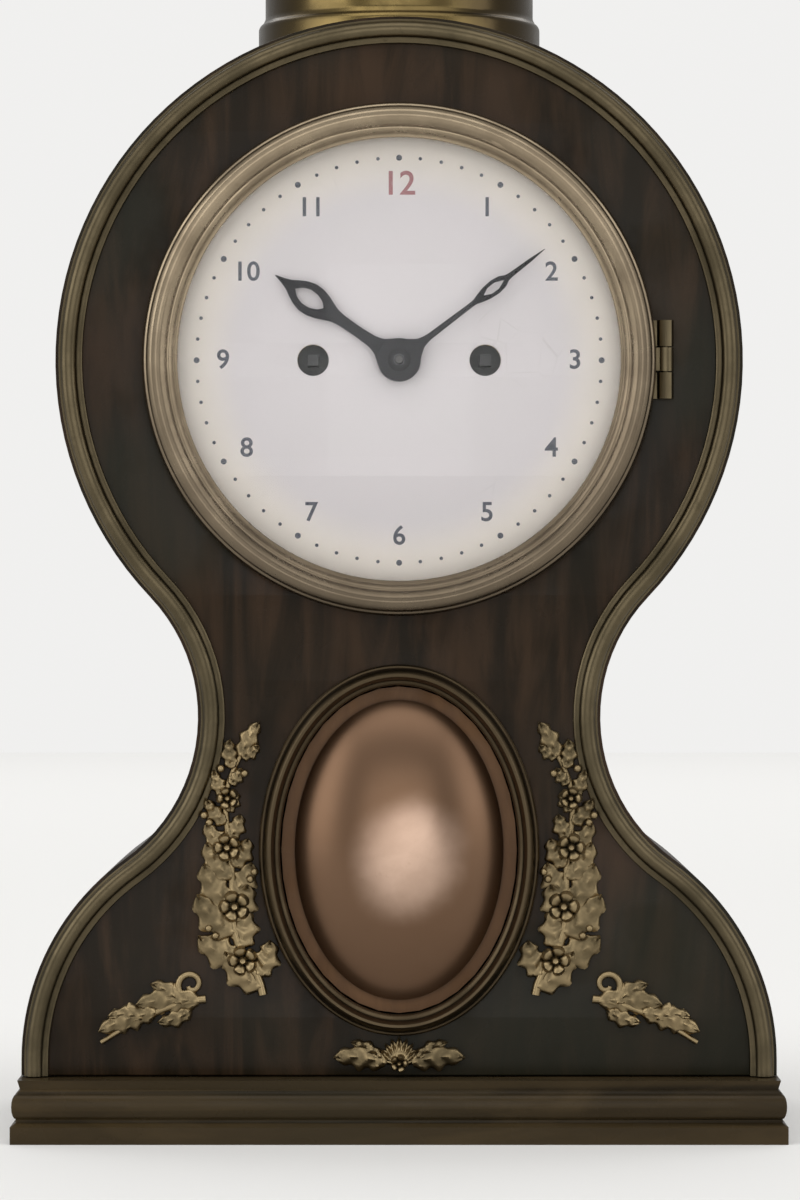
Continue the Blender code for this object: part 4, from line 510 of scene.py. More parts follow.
def metalMaterial(name, metal, tarnish, amount, smooth, dull, edge=None, rubbed=0.6, hollows=0.8,
                  bump=0.25, lathed=False, oval=None, rimTone=None):
    m = metalFinish
    made, tree, shader, place = newMaterial(name)
    aged = useGroup(tree, metalGroup, Vector=place, Metal=metal, Tarnish=tarnish, Amount=amount,
                    Smooth=smooth, Dull=dull)
    worn = useGroup(tree, wearGroup, Amount=rubbed, Hollows=hollows)
    colour = mixColours(tree, worn["Edges"], aged["Color"], edge or tinted(metal, m["edgeLight"]))
    colour = mixColours(tree, worn["Dirt"], colour, m["grime"])
    if oval:
        # toward the rim of an oval, given by its x, z, half width and half height, the colour turns to
        # rimTone
        # on the boss, the bezel and the pedestal this is painted shade, darker there; on the centre wheel
        # it is its brass
        uneven = times(tree, noise(tree, place, *m["rimNoise"]), m["rimUneven"])
        rim = ramp(tree, plus(tree, axisDistance(tree, place, *oval), uneven), *m["rimEdges"])
        colour = mixColours(tree, times(tree, rim, m["rimDepth"]), colour, rimTone)
    tree.links.new(colour, shader["Base Color"])
    rough = plus(tree, aged["Roughness"], times(tree, worn["Dirt"], m["grimeRough"]))
    tree.links.new(rough, shader["Roughness"])
    shader["Metallic"].default_value = 1.0
    height = aged["Height"]
    if lathed:
        centred = mapped(tree, place, move=(0.0, 0.0, -clock["dialHeight"]))
        lines = useGroup(tree, brushGroup, Vector=centred, Scale=m["lines"])
        height = plus(tree, height, times(tree, lines["Height"], m["lineDepth"]))
    addBump(tree, shader, height, bump)
    return made


# each wood: light and dark colour, then what differs from the usual finish
woods = {
    "caseWood": [(0.036, 0.020, 0.010), (0.011, 0.007, 0.003),
                 dict(rubbed=0.0, hollows=0.0, cast=(0.013, 0.014, 0.008))],
    "sideWood": [(0.032, 0.019, 0.010), (0.011, 0.007, 0.003), {}],
    "plinthWood": [(0.040, 0.027, 0.012), (0.013, 0.009, 0.004),
                   dict(cast=(0.016, 0.013, 0.007), turnGrain=(0.0, math.pi / 2, 0.0))],
    "backWood": [(0.080, 0.045, 0.026), (0.035, 0.020, 0.012),
                 dict(wear=0.5, coat=0.0, rubbed=0.0, hollows=0.0)],
    "wellWood": [(0.11, 0.058, 0.028), (0.05, 0.026, 0.013), dict(wear=0.5, coat=0.0)],
    "pine": [(0.42, 0.27, 0.14), (0.25, 0.14, 0.07),
             dict(wear=0.5, coat=0.0, turnGrain=(0.0, math.pi / 2, 0.0))],
}

# each metal: bright and tarnished colour, how much is tarnished, roughness where bright and where dull
metals = {
    # the pedestal and its cap are painted darker toward their sides, the right most: painted shade on the
    # round
    "pedestalBrass": [(0.20, 0.145, 0.055), (0.070, 0.050, 0.022), 0.55, 0.2, 0.4,
                      dict(oval=(-0.004, 0.2885, 0.036, 0.3), rimTone=(0.055, 0.040, 0.022))],
    "edgeBrass": [(0.098, 0.078, 0.046), (0.031, 0.026, 0.015), 0.6, 0.3, 0.5, dict(rubbed=0.35)],
    "frameBronze": [(0.072, 0.053, 0.031), (0.026, 0.019, 0.011), 0.6, 0.3, 0.5, dict(rubbed=0.4)],
    # the bezel ring is painted darker from the top down, a little more on the right: painted shade
    "bezelBrass": [(0.315, 0.252, 0.172), (0.130, 0.098, 0.064), 0.5, 0.26, 0.42,
                   dict(rubbed=0.5, lathed=True, rimTone=(0.106, 0.083, 0.058),
                        oval=(-0.01, clock["dialHeight"] + 0.055, 0.17, 0.17))],
    "gilt": [(0.225, 0.170, 0.092), (0.045, 0.036, 0.020), 0.68, 0.3, 0.5, {}],
    # the boss's copper is painted darker toward its rim and its left side: painted shade round the central
    # highlight
    "copperBronze": [(0.50, 0.35, 0.265), (0.27, 0.175, 0.12), 0.3, 0.31, 0.40,
                     dict(bump=0.06, rimTone=(0.128, 0.072, 0.040),
                          oval=(0.0022, clock["bossHeight"] - 0.002, 0.021, 0.0235))],
    "movementBrass": [(0.66, 0.49, 0.22), (0.36, 0.25, 0.10), 0.35, 0.2, 0.4, dict(hollows=0.3)],
    "doorBrass": [(0.44, 0.325, 0.14), (0.19, 0.13, 0.06), 0.5, 0.24, 0.46, dict(bump=0.35, lathed=True)],
    "centreBrass": [(0.05, 0.047, 0.045), (0.03, 0.028, 0.026), 0.35, 0.3, 0.5,
                    dict(hollows=0.3, rimTone=(0.56, 0.41, 0.18),
                         oval=(0.0, clock["dialHeight"], 0.0052, 0.0052))],
    "steel": [(0.46, 0.46, 0.47), (0.20, 0.18, 0.16), 0.3, 0.2, 0.4, dict(hollows=0.4)],
    "windingSteel": [(0.03, 0.028, 0.028), (0.012, 0.011, 0.010), 0.5, 0.35, 0.6,
                     dict(edge=(0.06, 0.06, 0.06))],
    "blued": [(0.010, 0.009, 0.011), (0.006, 0.005, 0.005), 0.4, 0.38, 0.45,
              dict(edge=(0.04, 0.038, 0.042))],
    "bellMetal": [(0.55, 0.46, 0.31), (0.28, 0.21, 0.12), 0.35, 0.16, 0.35, dict(lathed=True)],
}

# the rim colour is painted light: lighter and warmer than the middle where the bezel shades the dial
enamel = {"middle": (0.785, 0.715, 0.735), "rim": (0.98, 0.87, 0.79), "rimEdges": (0.036, 0.048),
          "clouds": (70.0, 4.0, 0.35, 0.75), "cloudTone": (0.70, 0.68, 0.66), "crackle": 130.0,
          "hair": (0.012, 0.004), "few": (30.0, 2.0, 0.56, 0.66), "hairTone": (0.30, 0.26, 0.22),
          "faint": 0.12, "specular": 0.25, "smooth": 0.16, "dull": 0.10, "waves": (90.0, 3.0), "bump": 0.08}


def buildEnamel():
    # a cool middle, a lighter, warmer rim that is painted light against the bezel's shade and for its warm
    # glow, faint clouds and a few hair cracks
    e = enamel
    made, tree, shader, place = newMaterial("enamel")
    rim = ramp(tree, axisDistance(tree, place, 0.0, clock["dialHeight"]), *e["rimEdges"])
    colour = mixColours(tree, rim, e["middle"], e["rim"])
    clouds = mask(tree, place, *e["clouds"])
    colour = mixColours(tree, times(tree, clouds, e["faint"]), colour, e["cloudTone"])
    crackle = tree.nodes.new("ShaderNodeTexVoronoi")
    crackle.feature = "DISTANCE_TO_EDGE"
    crackle.inputs["Scale"].default_value = e["crackle"]
    tree.links.new(place, crackle.inputs["Vector"])
    hair = times(tree, ramp(tree, crackle.outputs["Distance"], *e["hair"]), mask(tree, place, *e["few"]))
    colour = mixColours(tree, times(tree, hair, e["faint"]), colour, e["hairTone"])
    tree.links.new(colour, shader["Base Color"])
    tree.links.new(plus(tree, e["smooth"], times(tree, clouds, e["dull"])), shader["Roughness"])
    shader["Specular IOR Level"].default_value = e["specular"]
    addBump(tree, shader, noise(tree, place, *e["waves"]), e["bump"])
    return made


oldGlass = {"tint": (0.97, 0.985, 0.98, 1.0), "bend": 1.25, "smears": (45.0, 5.0, 0.5, 0.8, 0.6, 0.8),
            "dull": 0.05, "waves": (25.0, 2.0), "bump": 0.03}
ink = {"worn": (500.0, 4.0, 0.62, 0.8), "fade": (0.6, 0.58, 0.56), "fadeDepth": 0.5, "smooth": 0.25,
       "dull": 0.3, "waves": (900.0, 2.0), "bump": 0.1, "depth": 0.00005}


def buildGlass():
    # old glass, faintly smeared and not quite flat
    made, tree, shader, place = newMaterial("bezelGlass")
    setValues(shader, {"Base Color": oldGlass["tint"], "Transmission Weight": 1.0, "IOR": oldGlass["bend"]})
    smears = mask(tree, place, *oldGlass["smears"])
    tree.links.new(times(tree, smears, oldGlass["dull"]), shader["Roughness"])
    addBump(tree, shader, noise(tree, place, *oldGlass["waves"]), oldGlass["bump"])
    return made


def buildInk(name, colour):
    # fired numerals, a little worn
    made, tree, shader, place = newMaterial(name)
    worn = mask(tree, place, *ink["worn"])
    faded = mixColours(tree, times(tree, worn, ink["fadeDepth"]), colour, ink["fade"])
    tree.links.new(faded, shader["Base Color"])
    tree.links.new(plus(tree, ink["smooth"], times(tree, worn, ink["dull"])), shader["Roughness"])
    addBump(tree, shader, noise(tree, place, *ink["waves"]), ink["bump"], ink["depth"])
    return made


looks = {name: woodMaterial(name, light, dark, **rest) for name, (light, dark, rest) in woods.items()}
for name, (*tones, rest) in metals.items():
    looks[name] = metalMaterial(name, *tones, **rest)
looks["enamel"] = buildEnamel()
looks["glass"] = buildGlass()
looks["inkDark"] = buildInk("inkDark", (0.05, 0.05, 0.075))
looks["inkRed"] = buildInk("inkRed", (0.36, 0.12, 0.13))
print("materials ready")


# plinth: foot, line, round bead, neck, with mitred corners

plinth = {"width": 0.1776, "depth": 0.114, "soften": 0.00035, "roundHeight": 0.0085,
          "roundHalf": 0.0028, "roundInset": 0.0013, "roundBulge": 0.0010, "roundSteps": 8,
          "mitreRun": 0.002}  # a mitred edge runs sideways by less than this


def plinthLevels():
    # from the table up: height, and how far the moulding stands in
    bulge = []
    for i in range(plinth["roundSteps"] + 1):
        turn = math.pi * i / plinth["roundSteps"]
        bulge.append((plinth["roundHeight"] - plinth["roundHalf"] * math.cos(turn),
                      plinth["roundInset"] - plinth["roundBulge"] * math.sin(turn)))
    foot = [(0.0, 0.0), (0.0040, 0.0), (0.0046, 0.0007), (0.0050, 0.0012), (0.0056, 0.0012)]
    return foot + bulge + [(0.0118, 0.0016), (0.0124, 0.0022), (0.0134, 0.0019), (0.0145, 0.0016)]


def makePlinth():
    shape = bmesh.new()
    bmesh.ops.create_grid(shape, x_segments=1, y_segments=1, size=0.5)
    bmesh.ops.scale(shape, vec=(plinth["width"], plinth["depth"], 1.0), verts=shape.verts)
    levels = plinthLevels()
    top = shape.faces[:][0]
    for before, after in zip(levels, levels[1:]):
        made = bmesh.ops.extrude_face_region(shape, geom=[top])
        verts = ofKind(made, bmesh.types.BMVert)
        bmesh.ops.translate(shape, vec=(0, 0, after[0] - before[0]), verts=verts)
        shares = [(plinth[way] - 2 * after[1]) / (plinth[way] - 2 * before[1])
                  for way in ("width", "depth")]
        bmesh.ops.scale(shape, vec=(*shares, 1.0), verts=verts)
        if top.is_valid and before != levels[0]:
            bmesh.ops.delete(shape, geom=[top], context="FACES_ONLY")
        top = ofKind(made, bmesh.types.BMFace)[0]
    mitres = []
    for edge in shape.edges:
        run = edge.verts[0].co - edge.verts[1].co
        if max(abs(run.x), abs(run.y)) < plinth["mitreRun"]:
            mitres.append(edge)
    soften(shape, mitres, plinth["soften"], 3)
    addPiece("plinthMoulding", shape, "plinthWood", "case", ["plinth"])


# the case: veneered front and back, two bent sides

front = {"board": 0.009, "edge": 0.0004, "bezelHole": 0.0532, "wellHalfWidth": 0.0274,
         "wellHalfHeight": 0.0379}
case = {"backBoard": 0.006, "side": 0.004, "sideEdge": 0.0002, "crownGap": 0.0003}


def makeCase():
    hole = circlePoints(front["bezelHole"], around["hole"], (0.0, clock["dialHeight"]))
    well = ovalPoints(front["wellHalfWidth"], front["wellHalfHeight"], around["hole"],
                      (0.0, clock["bossHeight"]))
    board = flatShape([wholeOutline(), hole, well], clock["front"], clock["front"] + front["board"],
                      front["edge"])
    addPiece("frontVeneer", board, "caseWood", "case", ["front_board"], sharp=20)
    back = flatShape([wholeOutline(), hole], clock["back"] - case["backBoard"], clock["back"],
                     front["edge"])
    addPiece("backPanel", back, "backWood", "case", ["back_board"], sharp=20)
    right = halfOutline(0.0, case["crownGap"]) + halfOutline(case["side"], case["crownGap"])[::-1]
    for side, loop in (("right", right), ("left", mirrored(right))):
        low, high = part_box("side_" + side)
        skin = flatShape([loop], low.y, high.y, case["sideEdge"], 1)
        addPiece("bentSide" + side, skin, "sideWood", "case", ["side_" + side], sharp=50)
    paintNode("floor_board", "pine")


# a moulding that follows a closed outline: each step goes inwards and forwards

def mouldingRing(points, profile):
    shape = bmesh.new()
    face = shape.faces.new([shape.verts.new((x, z, 0.0)) for x, z in points])
    outer = shape.edges[:]
    shape.normal_update()
    for before, after in zip(profile, profile[1:]):
        bmesh.ops.inset_region(shape, faces=[face], thickness=after[0] - before[0],
                               depth=after[1] - before[1], use_even_offset=True, use_boundary=True)
    inner = face.edges[:]
    bmesh.ops.delete(shape, geom=[face], context="FACES_ONLY")
    bmesh.ops.bridge_loops(shape, edges=outer + inner)
    return shape


# brass bead round the front edge: a hollow, a round and a small fillet, from plinth to plinth

bead = {"inset": 0.0007, "width": 0.0056, "rise": 0.0026, "runOn": 0.012}
beadShares = [(0.0, 0.0), (0.02, 0.42), (0.10, 0.46), (0.12, 0.62), (0.20, 0.84), (0.32, 0.97),
              (0.44, 1.0), (0.56, 0.95), (0.67, 0.80), (0.74, 0.60), (0.76, 0.44), (0.90, 0.40),
              (0.98, 0.30), (1.0, 0.0)]


def makeBead():
    edge = wholeOutline(bead["inset"])
    low = clock["bodyBase"] - bead["runOn"]
    points = [(edge[0][0], low)] + edge + [(edge[-1][0], low)]
    shape = mouldingRing(points, scaled(beadShares, bead["width"], bead["rise"]))
    cut = bmesh.ops.bisect_plane(shape, geom=shape.verts[:] + shape.edges[:] + shape.faces[:],
                                 dist=limits["spinMerge"], plane_co=(0.0, clock["bodyBase"], 0.0),
                                 plane_no=(0.0, -1.0, 0.0), clear_outer=True)
    bmesh.ops.edgenet_fill(shape, edges=[e for e in cut["geom_cut"] if isinstance(e, bmesh.types.BMEdge)])
    placed(shape, 0.0, onFront, 0.0)
    addPiece("edgeBead", shape, "edgeBrass", "case", ["edge_bead"])


# the oval boss in its well, with a moulded frame

boss = {"halfWidth": 0.0240, "halfHeight": 0.0345, "rise": 0.0086, "frame": 0.0048, "frameRise": 0.0048,
        "edgeShare": 0.05, "crown": 2.4, "steps": 24}
frameShares = [(0.0, 0.0), (0.01, 0.22), (0.08, 0.30), (0.16, 0.32), (0.18, 0.48), (0.24, 0.70),
               (0.34, 0.90), (0.46, 1.0), (0.58, 0.97), (0.68, 0.84), (0.75, 0.62), (0.78, 0.50),
               (0.88, 0.46), (0.98, 0.34), (1.0, 0.0)]


def makeBoss():
    paintNode("boss_panel", "wellWood")
    profile = [(1.0, 0.0), (1.0, boss["edgeShare"])]
    for i in range(boss["steps"]):
        r = 1 - (i + 1) / boss["steps"]
        profile.append((r, boss["edgeShare"] + (1 - boss["edgeShare"]) * (1 - r ** boss["crown"])))
    shape = spun(profile, around["dome"])
    bmesh.ops.contextual_create(shape, geom=openEdges(shape))
    bmesh.ops.scale(shape, vec=(boss["halfWidth"], boss["halfHeight"], boss["rise"]), verts=shape.verts)
    placed(shape, 0.0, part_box("boss")[1].y, clock["bossHeight"])
    addPiece("bossDome", shape, "copperBronze", "case", ["boss"], sharp=50)
    wide, tall = front["wellHalfWidth"] + boss["frame"], front["wellHalfHeight"] + boss["frame"]
    ring = mouldingRing(ovalPoints(wide, tall, around["frame"]),
                        scaled(frameShares, boss["frame"], boss["frameRise"]))
    placed(ring, 0.0, onFront, clock["bossHeight"])
    addPiece("bossFrame", ring, "frameBronze", "case", ["boss_frame"], sharp=30)


# bezel with its hinge, and the glass

bezel = {"outer": 0.0589, "sight": 0.0508, "rebate": 0.0519, "rise": 0.0062, "back": -0.0484,
         "soften": 0.0003}
bezelShares = [(0.0, 0.48), (0.10, 0.50), (0.16, 0.62), (0.24, 0.70), (0.30, 0.70), (0.34, 0.82),
               (0.46, 0.95), (0.60, 1.0), (0.74, 0.96), (0.84, 0.84), (0.88, 0.74), (0.94, 0.70),
               (1.0, 0.52), (1.0, 0.0)]
pane = {"thick": 0.0014, "dome": 0.0024, "seatClear": 0.0006, "steps": 12}
hinge = {"x": 0.0611, "halfHeight": 0.003, "bore": 0.0011, "radius": 0.0019, "wingFrom": 0.0572,
         "wingTo": 0.0598, "wingDepth": 0.0018, "soften": 0.0002}


def makeBezel():
    half = hinge["halfHeight"] - clock["gap"]
    low, high = clock["dialHeight"] - half, clock["dialHeight"] + half
    bore, radius = hinge["bore"], hinge["radius"]
    barrel = spun([(bore, low), (radius, low), (radius, high), (bore, high)], around["hinge"])
    placed(barrel, hinge["x"], bezel["back"], 0.0, turned=False)
    wing = boxShape((hinge["wingFrom"], bezel["back"] - hinge["wingDepth"], low),
                    (hinge["wingTo"], bezel["back"], high), hinge["soften"])
    joinShapes(barrel, wing)
    addPiece("bezelHinge", barrel, "edgeBrass", "bezel", [], sharp=35)
    seat = pane["thick"] + pane["seatClear"]
    width = bezel["outer"] - bezel["sight"]
    slope = [(bezel["sight"] + width * r, bezel["rise"] * s) for r, s in bezelShares]
    profile = rounded([(bezel["sight"], seat)] + slope, bezel["soften"], 3)
    shape = spun(profile + [(bezel["rebate"], 0.0), (bezel["rebate"], seat)], around["bezel"])
    placed(shape, 0.0, bezel["back"], clock["dialHeight"])
    addPiece("bezelRing", shape, "bezelBrass", "bezel", ["bezel"], sharp=28)
    radius = bezel["rebate"] - clock["gap"]
    shares = [1 - i / pane["steps"] for i in range(pane["steps"] + 1)]
    face = [(radius * r, pane["thick"] + pane["dome"] * (1 - r ** 2)) for r in shares]
    glass = spun([(r, h - pane["thick"]) for r, h in face[::-1]] + face, around["pane"])
    placed(glass, 0.0, bezel["back"] - clock["gap"], clock["dialHeight"])
    addPiece("bezelPane", glass, "glass", "bezel", ["bezel_glass"], sharp=40)


# dial: white enamel with arabic hours and a track of dots

dial = {"radius": 0.0514, "edge": 0.00025, "winding": 0.0036, "windingReach": 0.0198, "centre": 0.0028,
        "numeral": 0.0405, "numeralSize": 0.0062, "twelveShare": 1.25, "stroke": 0.00009, "ink": 0.00002,
        "minuteTrack": 0.0466, "dot": 0.00042, "hourDot": 0.0007, "dotInk": 0.00003, "inkGap": 0.00001}


def textShape(words, size):
    curve = bpy.data.curves.new("numeral", "FONT")
    curve.body = words
    curve.size = size
    curve.align_x = "CENTER"
    curve.align_y = "CENTER"
    curve.extrude = dial["ink"]
    curve.offset = dial["stroke"]
    curve.resolution_u = 6
    return shapeOfCurve(curve)


def onDial(shape, radius, degrees):
    turn = math.radians(degrees)
    shape.transform(Matrix.Translation((radius * math.cos(turn), radius * math.sin(turn), 0)))
    return shape


def makeDial():
    low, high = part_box("enamel_dial")
    centre = (0.0, clock["dialHeight"])
    loops = [circlePoints(dial["radius"], around["dial"], centre),
             circlePoints(dial["centre"], around["centre"], centre)]
    for side in (-1, 1):
        at = (side * dial["windingReach"], clock["dialHeight"])
        loops.append(circlePoints(dial["winding"], around["winding"], at))
    face = flatShape(loops, low.y, high.y, dial["edge"])
    addPiece("enamelFace", face, "enamel", "case", ["enamel_dial"], sharp=20)
    marks = {"dark": bmesh.new(), "red": bmesh.new()}
    for hour in range(1, 13):
        words = textShape(str(hour), dial["numeralSize"] * (dial["twelveShare"] if hour == 12 else 1.0))
        joinShapes(marks["red" if hour == 12 else "dark"], onDial(words, dial["numeral"], 90 - hour * 30))
    for minute in range(60):
        dot = bmesh.new()
        size = dial["dot"] if minute % 5 else dial["hourDot"]
        bmesh.ops.create_circle(dot, cap_ends=True, radius=size, segments=10)
        made = bmesh.ops.extrude_face_region(dot, geom=dot.faces[:])
        bmesh.ops.translate(dot, vec=(0, 0, dial["dotInk"]), verts=ofKind(made, bmesh.types.BMVert))
        joinShapes(marks["dark"], onDial(dot, dial["minuteTrack"], minute * 6))
    for tone, shape in marks.items():
        placed(shape, 0.0, low.y - dial["inkGap"], clock["dialHeight"])
        addPiece(tone + "Numerals", shape, "ink" + tone.capitalize(), "case", [], sharp=30)


# hands: each side as shares of the boss across and the length up, from the boss to the tip

hands = {
    "hour": {
        "angle": 304.4, "length": 0.0345, "boss": 0.0042, "pipe": 0.0026,
        "side": [(0.10, 0.86), (0.16, 0.48), (0.22, 0.34), (0.34, 0.29), (0.46, 0.31), (0.52, 0.38),
                 (0.57, 0.54), (0.62, 0.72), (0.68, 0.85), (0.74, 0.86), (0.80, 0.72), (0.85, 0.50),
                 (0.89, 0.30), (0.94, 0.15), (1.0, 0.02)],
        "pierced": [(0.61, 0.0), (0.64, 0.26), (0.69, 0.43), (0.75, 0.45), (0.80, 0.30), (0.84, 0.0)],
    },
    "minute": {
        "angle": 52.8, "length": 0.0420, "boss": 0.0034, "pipe": 0.0019,
        "side": [(0.10, 0.80), (0.15, 0.36), (0.20, 0.22), (0.46, 0.17), (0.52, 0.17), (0.55, 0.30),
                 (0.60, 0.46), (0.66, 0.52), (0.71, 0.42), (0.74, 0.22), (0.77, 0.17), (0.90, 0.12),
                 (1.0, 0.02)],
        "pierced": [(0.58, 0.0), (0.62, 0.24), (0.67, 0.26), (0.72, 0.0)],
    },
}
handEdge = {"blade": 0.00012, "collet": 0.0002}
colletShape = [(0.0012, 0.0), (0.0026, 0.0), (0.0026, 0.0004), (0.0018, 0.0010), (0.0012, 0.0010)]


def handLoops(hand):
    side = [(hand["boss"] * w, hand["length"] * t) for t, w in hand["side"]]
    hole = [(hand["boss"] * w, hand["length"] * t) for t, w in hand["pierced"]]
    start = math.atan2(side[0][1], side[0][0])
    hub = arcPoints((0.0, 0.0), math.hypot(*side[0]), start, -start - math.pi, around["handBoss"])
    loop = hub + [(-x, z) for x, z in side] + side[::-1]
    pierced = hole + [(-x, z) for x, z in hole[-2:0:-1]]
    turn = math.radians(-hand["angle"])
    c, s = math.cos(turn), math.sin(turn)
    return [[(x * c - z * s, x * s + z * c + clock["dialHeight"]) for x, z in ring]
            for ring in (loop, circlePoints(hand["pipe"], around["pipe"]), pierced)]


def makeHands():
    for kind, node in (("hour", "hour_hand"), ("minute", "minute_hand")):
        low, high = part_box(node)
        shape = flatShape(handLoops(hands[kind]), low.y, high.y, handEdge["blade"], 1)
        addPiece(kind + "HandPierced", shape, "blued", kind + "_work", [node], sharp=40)
    collet = spun(rounded(colletShape, handEdge["collet"], 2), around["collet"])
    placed(collet, 0.0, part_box("hand_collet")[1].y, clock["dialHeight"])
    addPiece("colletNut", collet, "blued", "minute_work", ["hand_collet"])


# turned pedestal, cap and finial

pedestal = {"foot": 0.0335, "crown": 0.2585, "soften": 0.0004, "capRadius": 0.0350, "finialRadius": 0.0150}
# radius with height over the crown, then radius with depth under the top
pedestalFoot = [(0.0335, 0.0016), (0.0331, 0.0024), (0.0325, 0.0028), (0.0319, 0.0040)]
pedestalHead = [(0.0319, 0.0046), (0.0323, 0.0030), (0.0325, 0.0026), (0.0325, 0.0)]
capShares = [(0.0, 0.0), (0.90, 0.0), (0.94, 0.10), (0.94, 0.22), (1.0, 0.30), (1.0, 0.52),
             (0.97, 0.60), (0.90, 0.66), (0.85, 0.76), (0.82, 0.90), (0.80, 1.0), (0.0, 1.0)]
finialShares = [(0.0, 0.0), (0.88, 0.0), (0.90, 0.03), (0.86, 0.07), (0.74, 0.10), (0.62, 0.14),
                (0.42, 0.18), (0.30, 0.21), (0.30, 0.25), (0.38, 0.27), (0.38, 0.29), (0.34, 0.31),
                (0.60, 0.36), (0.84, 0.44), (0.97, 0.54), (1.0, 0.62), (0.98, 0.68), (0.90, 0.73),
                (0.86, 0.75), (0.86, 0.77), (0.60, 0.80), (0.50, 0.83), (0.42, 0.87), (0.22, 0.895),
                (0.16, 0.91), (0.20, 0.94), (0.21, 0.965), (0.14, 0.99), (0.0, 1.0)]


def makePedestal():
    low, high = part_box("socle")
    profile = [(pedestal["foot"], low.z)] + [(r, pedestal["crown"] + up) for r, up in pedestalFoot]
    profile = rounded(profile + [(r, high.z - down) for r, down in pedestalHead], pedestal["soften"], 3)
    shape = spun([(0.0, low.z)] + profile + [(0.0, high.z)], around["pedestal"])
    seat = outline["drumRadius"] + clock["gap"]
    for vert in shape.verts:  # the underside follows the drum
        if vert.co.z < pedestal["crown"]:
            drum = clock["dialHeight"] + math.sqrt(max(0.0, seat**2 - vert.co.x**2))
            vert.co.z = max(vert.co.z, drum)
    addPiece("pedestalTurned", shape, "pedestalBrass", "case", ["socle"], sharp=35)
    low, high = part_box("socle_cap")
    profile = scaled(capShares, pedestal["capRadius"], high.z - low.z, low.z)
    shape = spun(rounded(profile, pedestal["soften"], 3), around["pedestal"])
    addPiece("pedestalCap", shape, "pedestalBrass", "case", ["socle_cap"], sharp=35)
    low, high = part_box("finial")
    profile = scaled(finialShares, pedestal["finialRadius"], high.z - low.z, low.z)
    shape = spun(profile, around["pedestal"])
    addPiece("finialUrn", shape, "gilt", "case", ["finial"], sharp=35)


# cast mounts: lobed leaves, rosettes and scrolls in relief

leaf = {"along": 22, "across": 9, "rise": 0.0022, "swell": 0.7, "narrowest": 0.04, "lobeDepth": 0.34,
        "lobeRound": 1.5, "rib": 0.35, "ribWidth": 0.16, "body": 0.22, "dish": 0.55,
        "veins": 0.10, "veinLean": 0.8, "edgeFall": 0.75, "tipFall": 0.25, "curl": 0.6, "curlFrom": 0.82,
        "swellFrom": 0.10, "swellRun": 0.90, "dishFloor": 0.35, "dishDepth": 0.65, "dishSpread": 0.5,
        "dishShare": 0.55}
flower = {"petals": 5, "stepsPerPetal": 8, "rise": 0.0026, "heart": 0.28, "pinch": 0.30, "cup": 0.45}
# a stalk's sides, and how high stalk and berry stand as shares of their radius
stalk = {"sides": 10, "lift": 0.75, "berryLift": 0.7}
flowerShares = [(0.0, 0.75), (0.16, 0.95), (0.24, 0.70), (0.30, 0.52), (0.55, 0.86), (0.78, 0.92),
                (0.94, 0.62), (1.0, 0.30), (0.98, 0.0)]


def leafRelief(target, base, angle, length, width, bend, lobes, rise=leaf["rise"]):
    # a lobed leaf drawn on a grid: a raised midrib, dished lobes and a tip that curls up
    angle, bend = math.radians(angle), math.radians(bend)
    shape = bmesh.new()
    bmesh.ops.create_grid(shape, x_segments=leaf["across"] - 1, y_segments=leaf["along"] - 1, size=0.5)
    for vert in shape.verts:
        t = vert.co.y + 0.5  # from the foot of the leaf to its tip
        s = vert.co.x * 2  # from one edge, -1, to the other, 1
        swell = math.sin(math.pi * min(1.0, leaf["swellFrom"] + leaf["swellRun"] * t)) ** leaf["swell"]
        notch = (0.5 + 0.5 * math.cos(2 * math.pi * lobes * t)) * (abs(s) ** leaf["lobeRound"])
        half = width / 2 * max(leaf["narrowest"], swell) * (1.0 - leaf["lobeDepth"] * notch)
        curve = angle + bend * t
        along = (length * math.sin(angle + bend * t / 2) * t, length * math.cos(angle + bend * t / 2) * t)
        rib = math.exp(-(s / leaf["ribWidth"]) ** 2) * leaf["rib"]
        hollow = 1 - (abs(s) - leaf["dish"]) ** 2 / leaf["dishSpread"]
        dish = max(0.0, leaf["dishFloor"] + leaf["dishDepth"] * hollow)
        veins = leaf["veins"] * math.cos(2 * math.pi * (lobes * t - leaf["veinLean"] * abs(s)))
        relief = (leaf["dishShare"] * dish + rib + veins) * (1 - leaf["edgeFall"] * abs(s) ** 3)
        height = rise * (leaf["body"] + relief) * (1 - leaf["tipFall"] * t)
        curl = rise * leaf["curl"] * max(0.0, t - leaf["curlFrom"]) / (1 - leaf["curlFrom"])
        vert.co = (base[0] + along[0] + half * s * math.cos(curve),
                   base[1] + along[1] - half * s * math.sin(curve), height + curl)
    made = bmesh.ops.extrude_edge_only(shape, edges=openEdges(shape))
    for vert in ofKind(made, bmesh.types.BMVert):
        vert.co.z = 0.0
    bmesh.ops.holes_fill(shape, edges=openEdges(shape), sides=0)
    joinShapes(target, shape)


def rosette(target, centre, radius, foot):
    # a small flower: cupped petals round a seeded heart
    shape = spun(flowerShares, flower["petals"] * flower["stepsPerPetal"])
    bmesh.ops.contextual_create(shape, geom=openEdges(shape))
    for vert in shape.verts:
        r = math.hypot(vert.co.x, vert.co.y)
        if r > flower["heart"]:
            wave = abs(math.cos(math.atan2(vert.co.y, vert.co.x) * flower["petals"] / 2)) ** 0.5
            pinch = 1 - flower["pinch"] * (1 - wave) * (r - flower["heart"]) / (1 - flower["heart"])
            vert.co.x *= pinch
            vert.co.y *= pinch
            vert.co.z *= 1 - flower["cup"] + flower["cup"] * wave
    bmesh.ops.scale(shape, vec=(radius, radius, flower["rise"]), verts=shape.verts)
    shape.transform(Matrix.Translation((centre[0], centre[1], foot)))
    joinShapes(target, shape)


def berry(target, centre, radius, foot):
    shape = bmesh.new()
    bmesh.ops.create_icosphere(shape, subdivisions=2, radius=radius)
    shape.transform(Matrix.Translation((centre[0], centre[1], foot + radius * stalk["berryLift"])))
    joinShapes(target, shape)


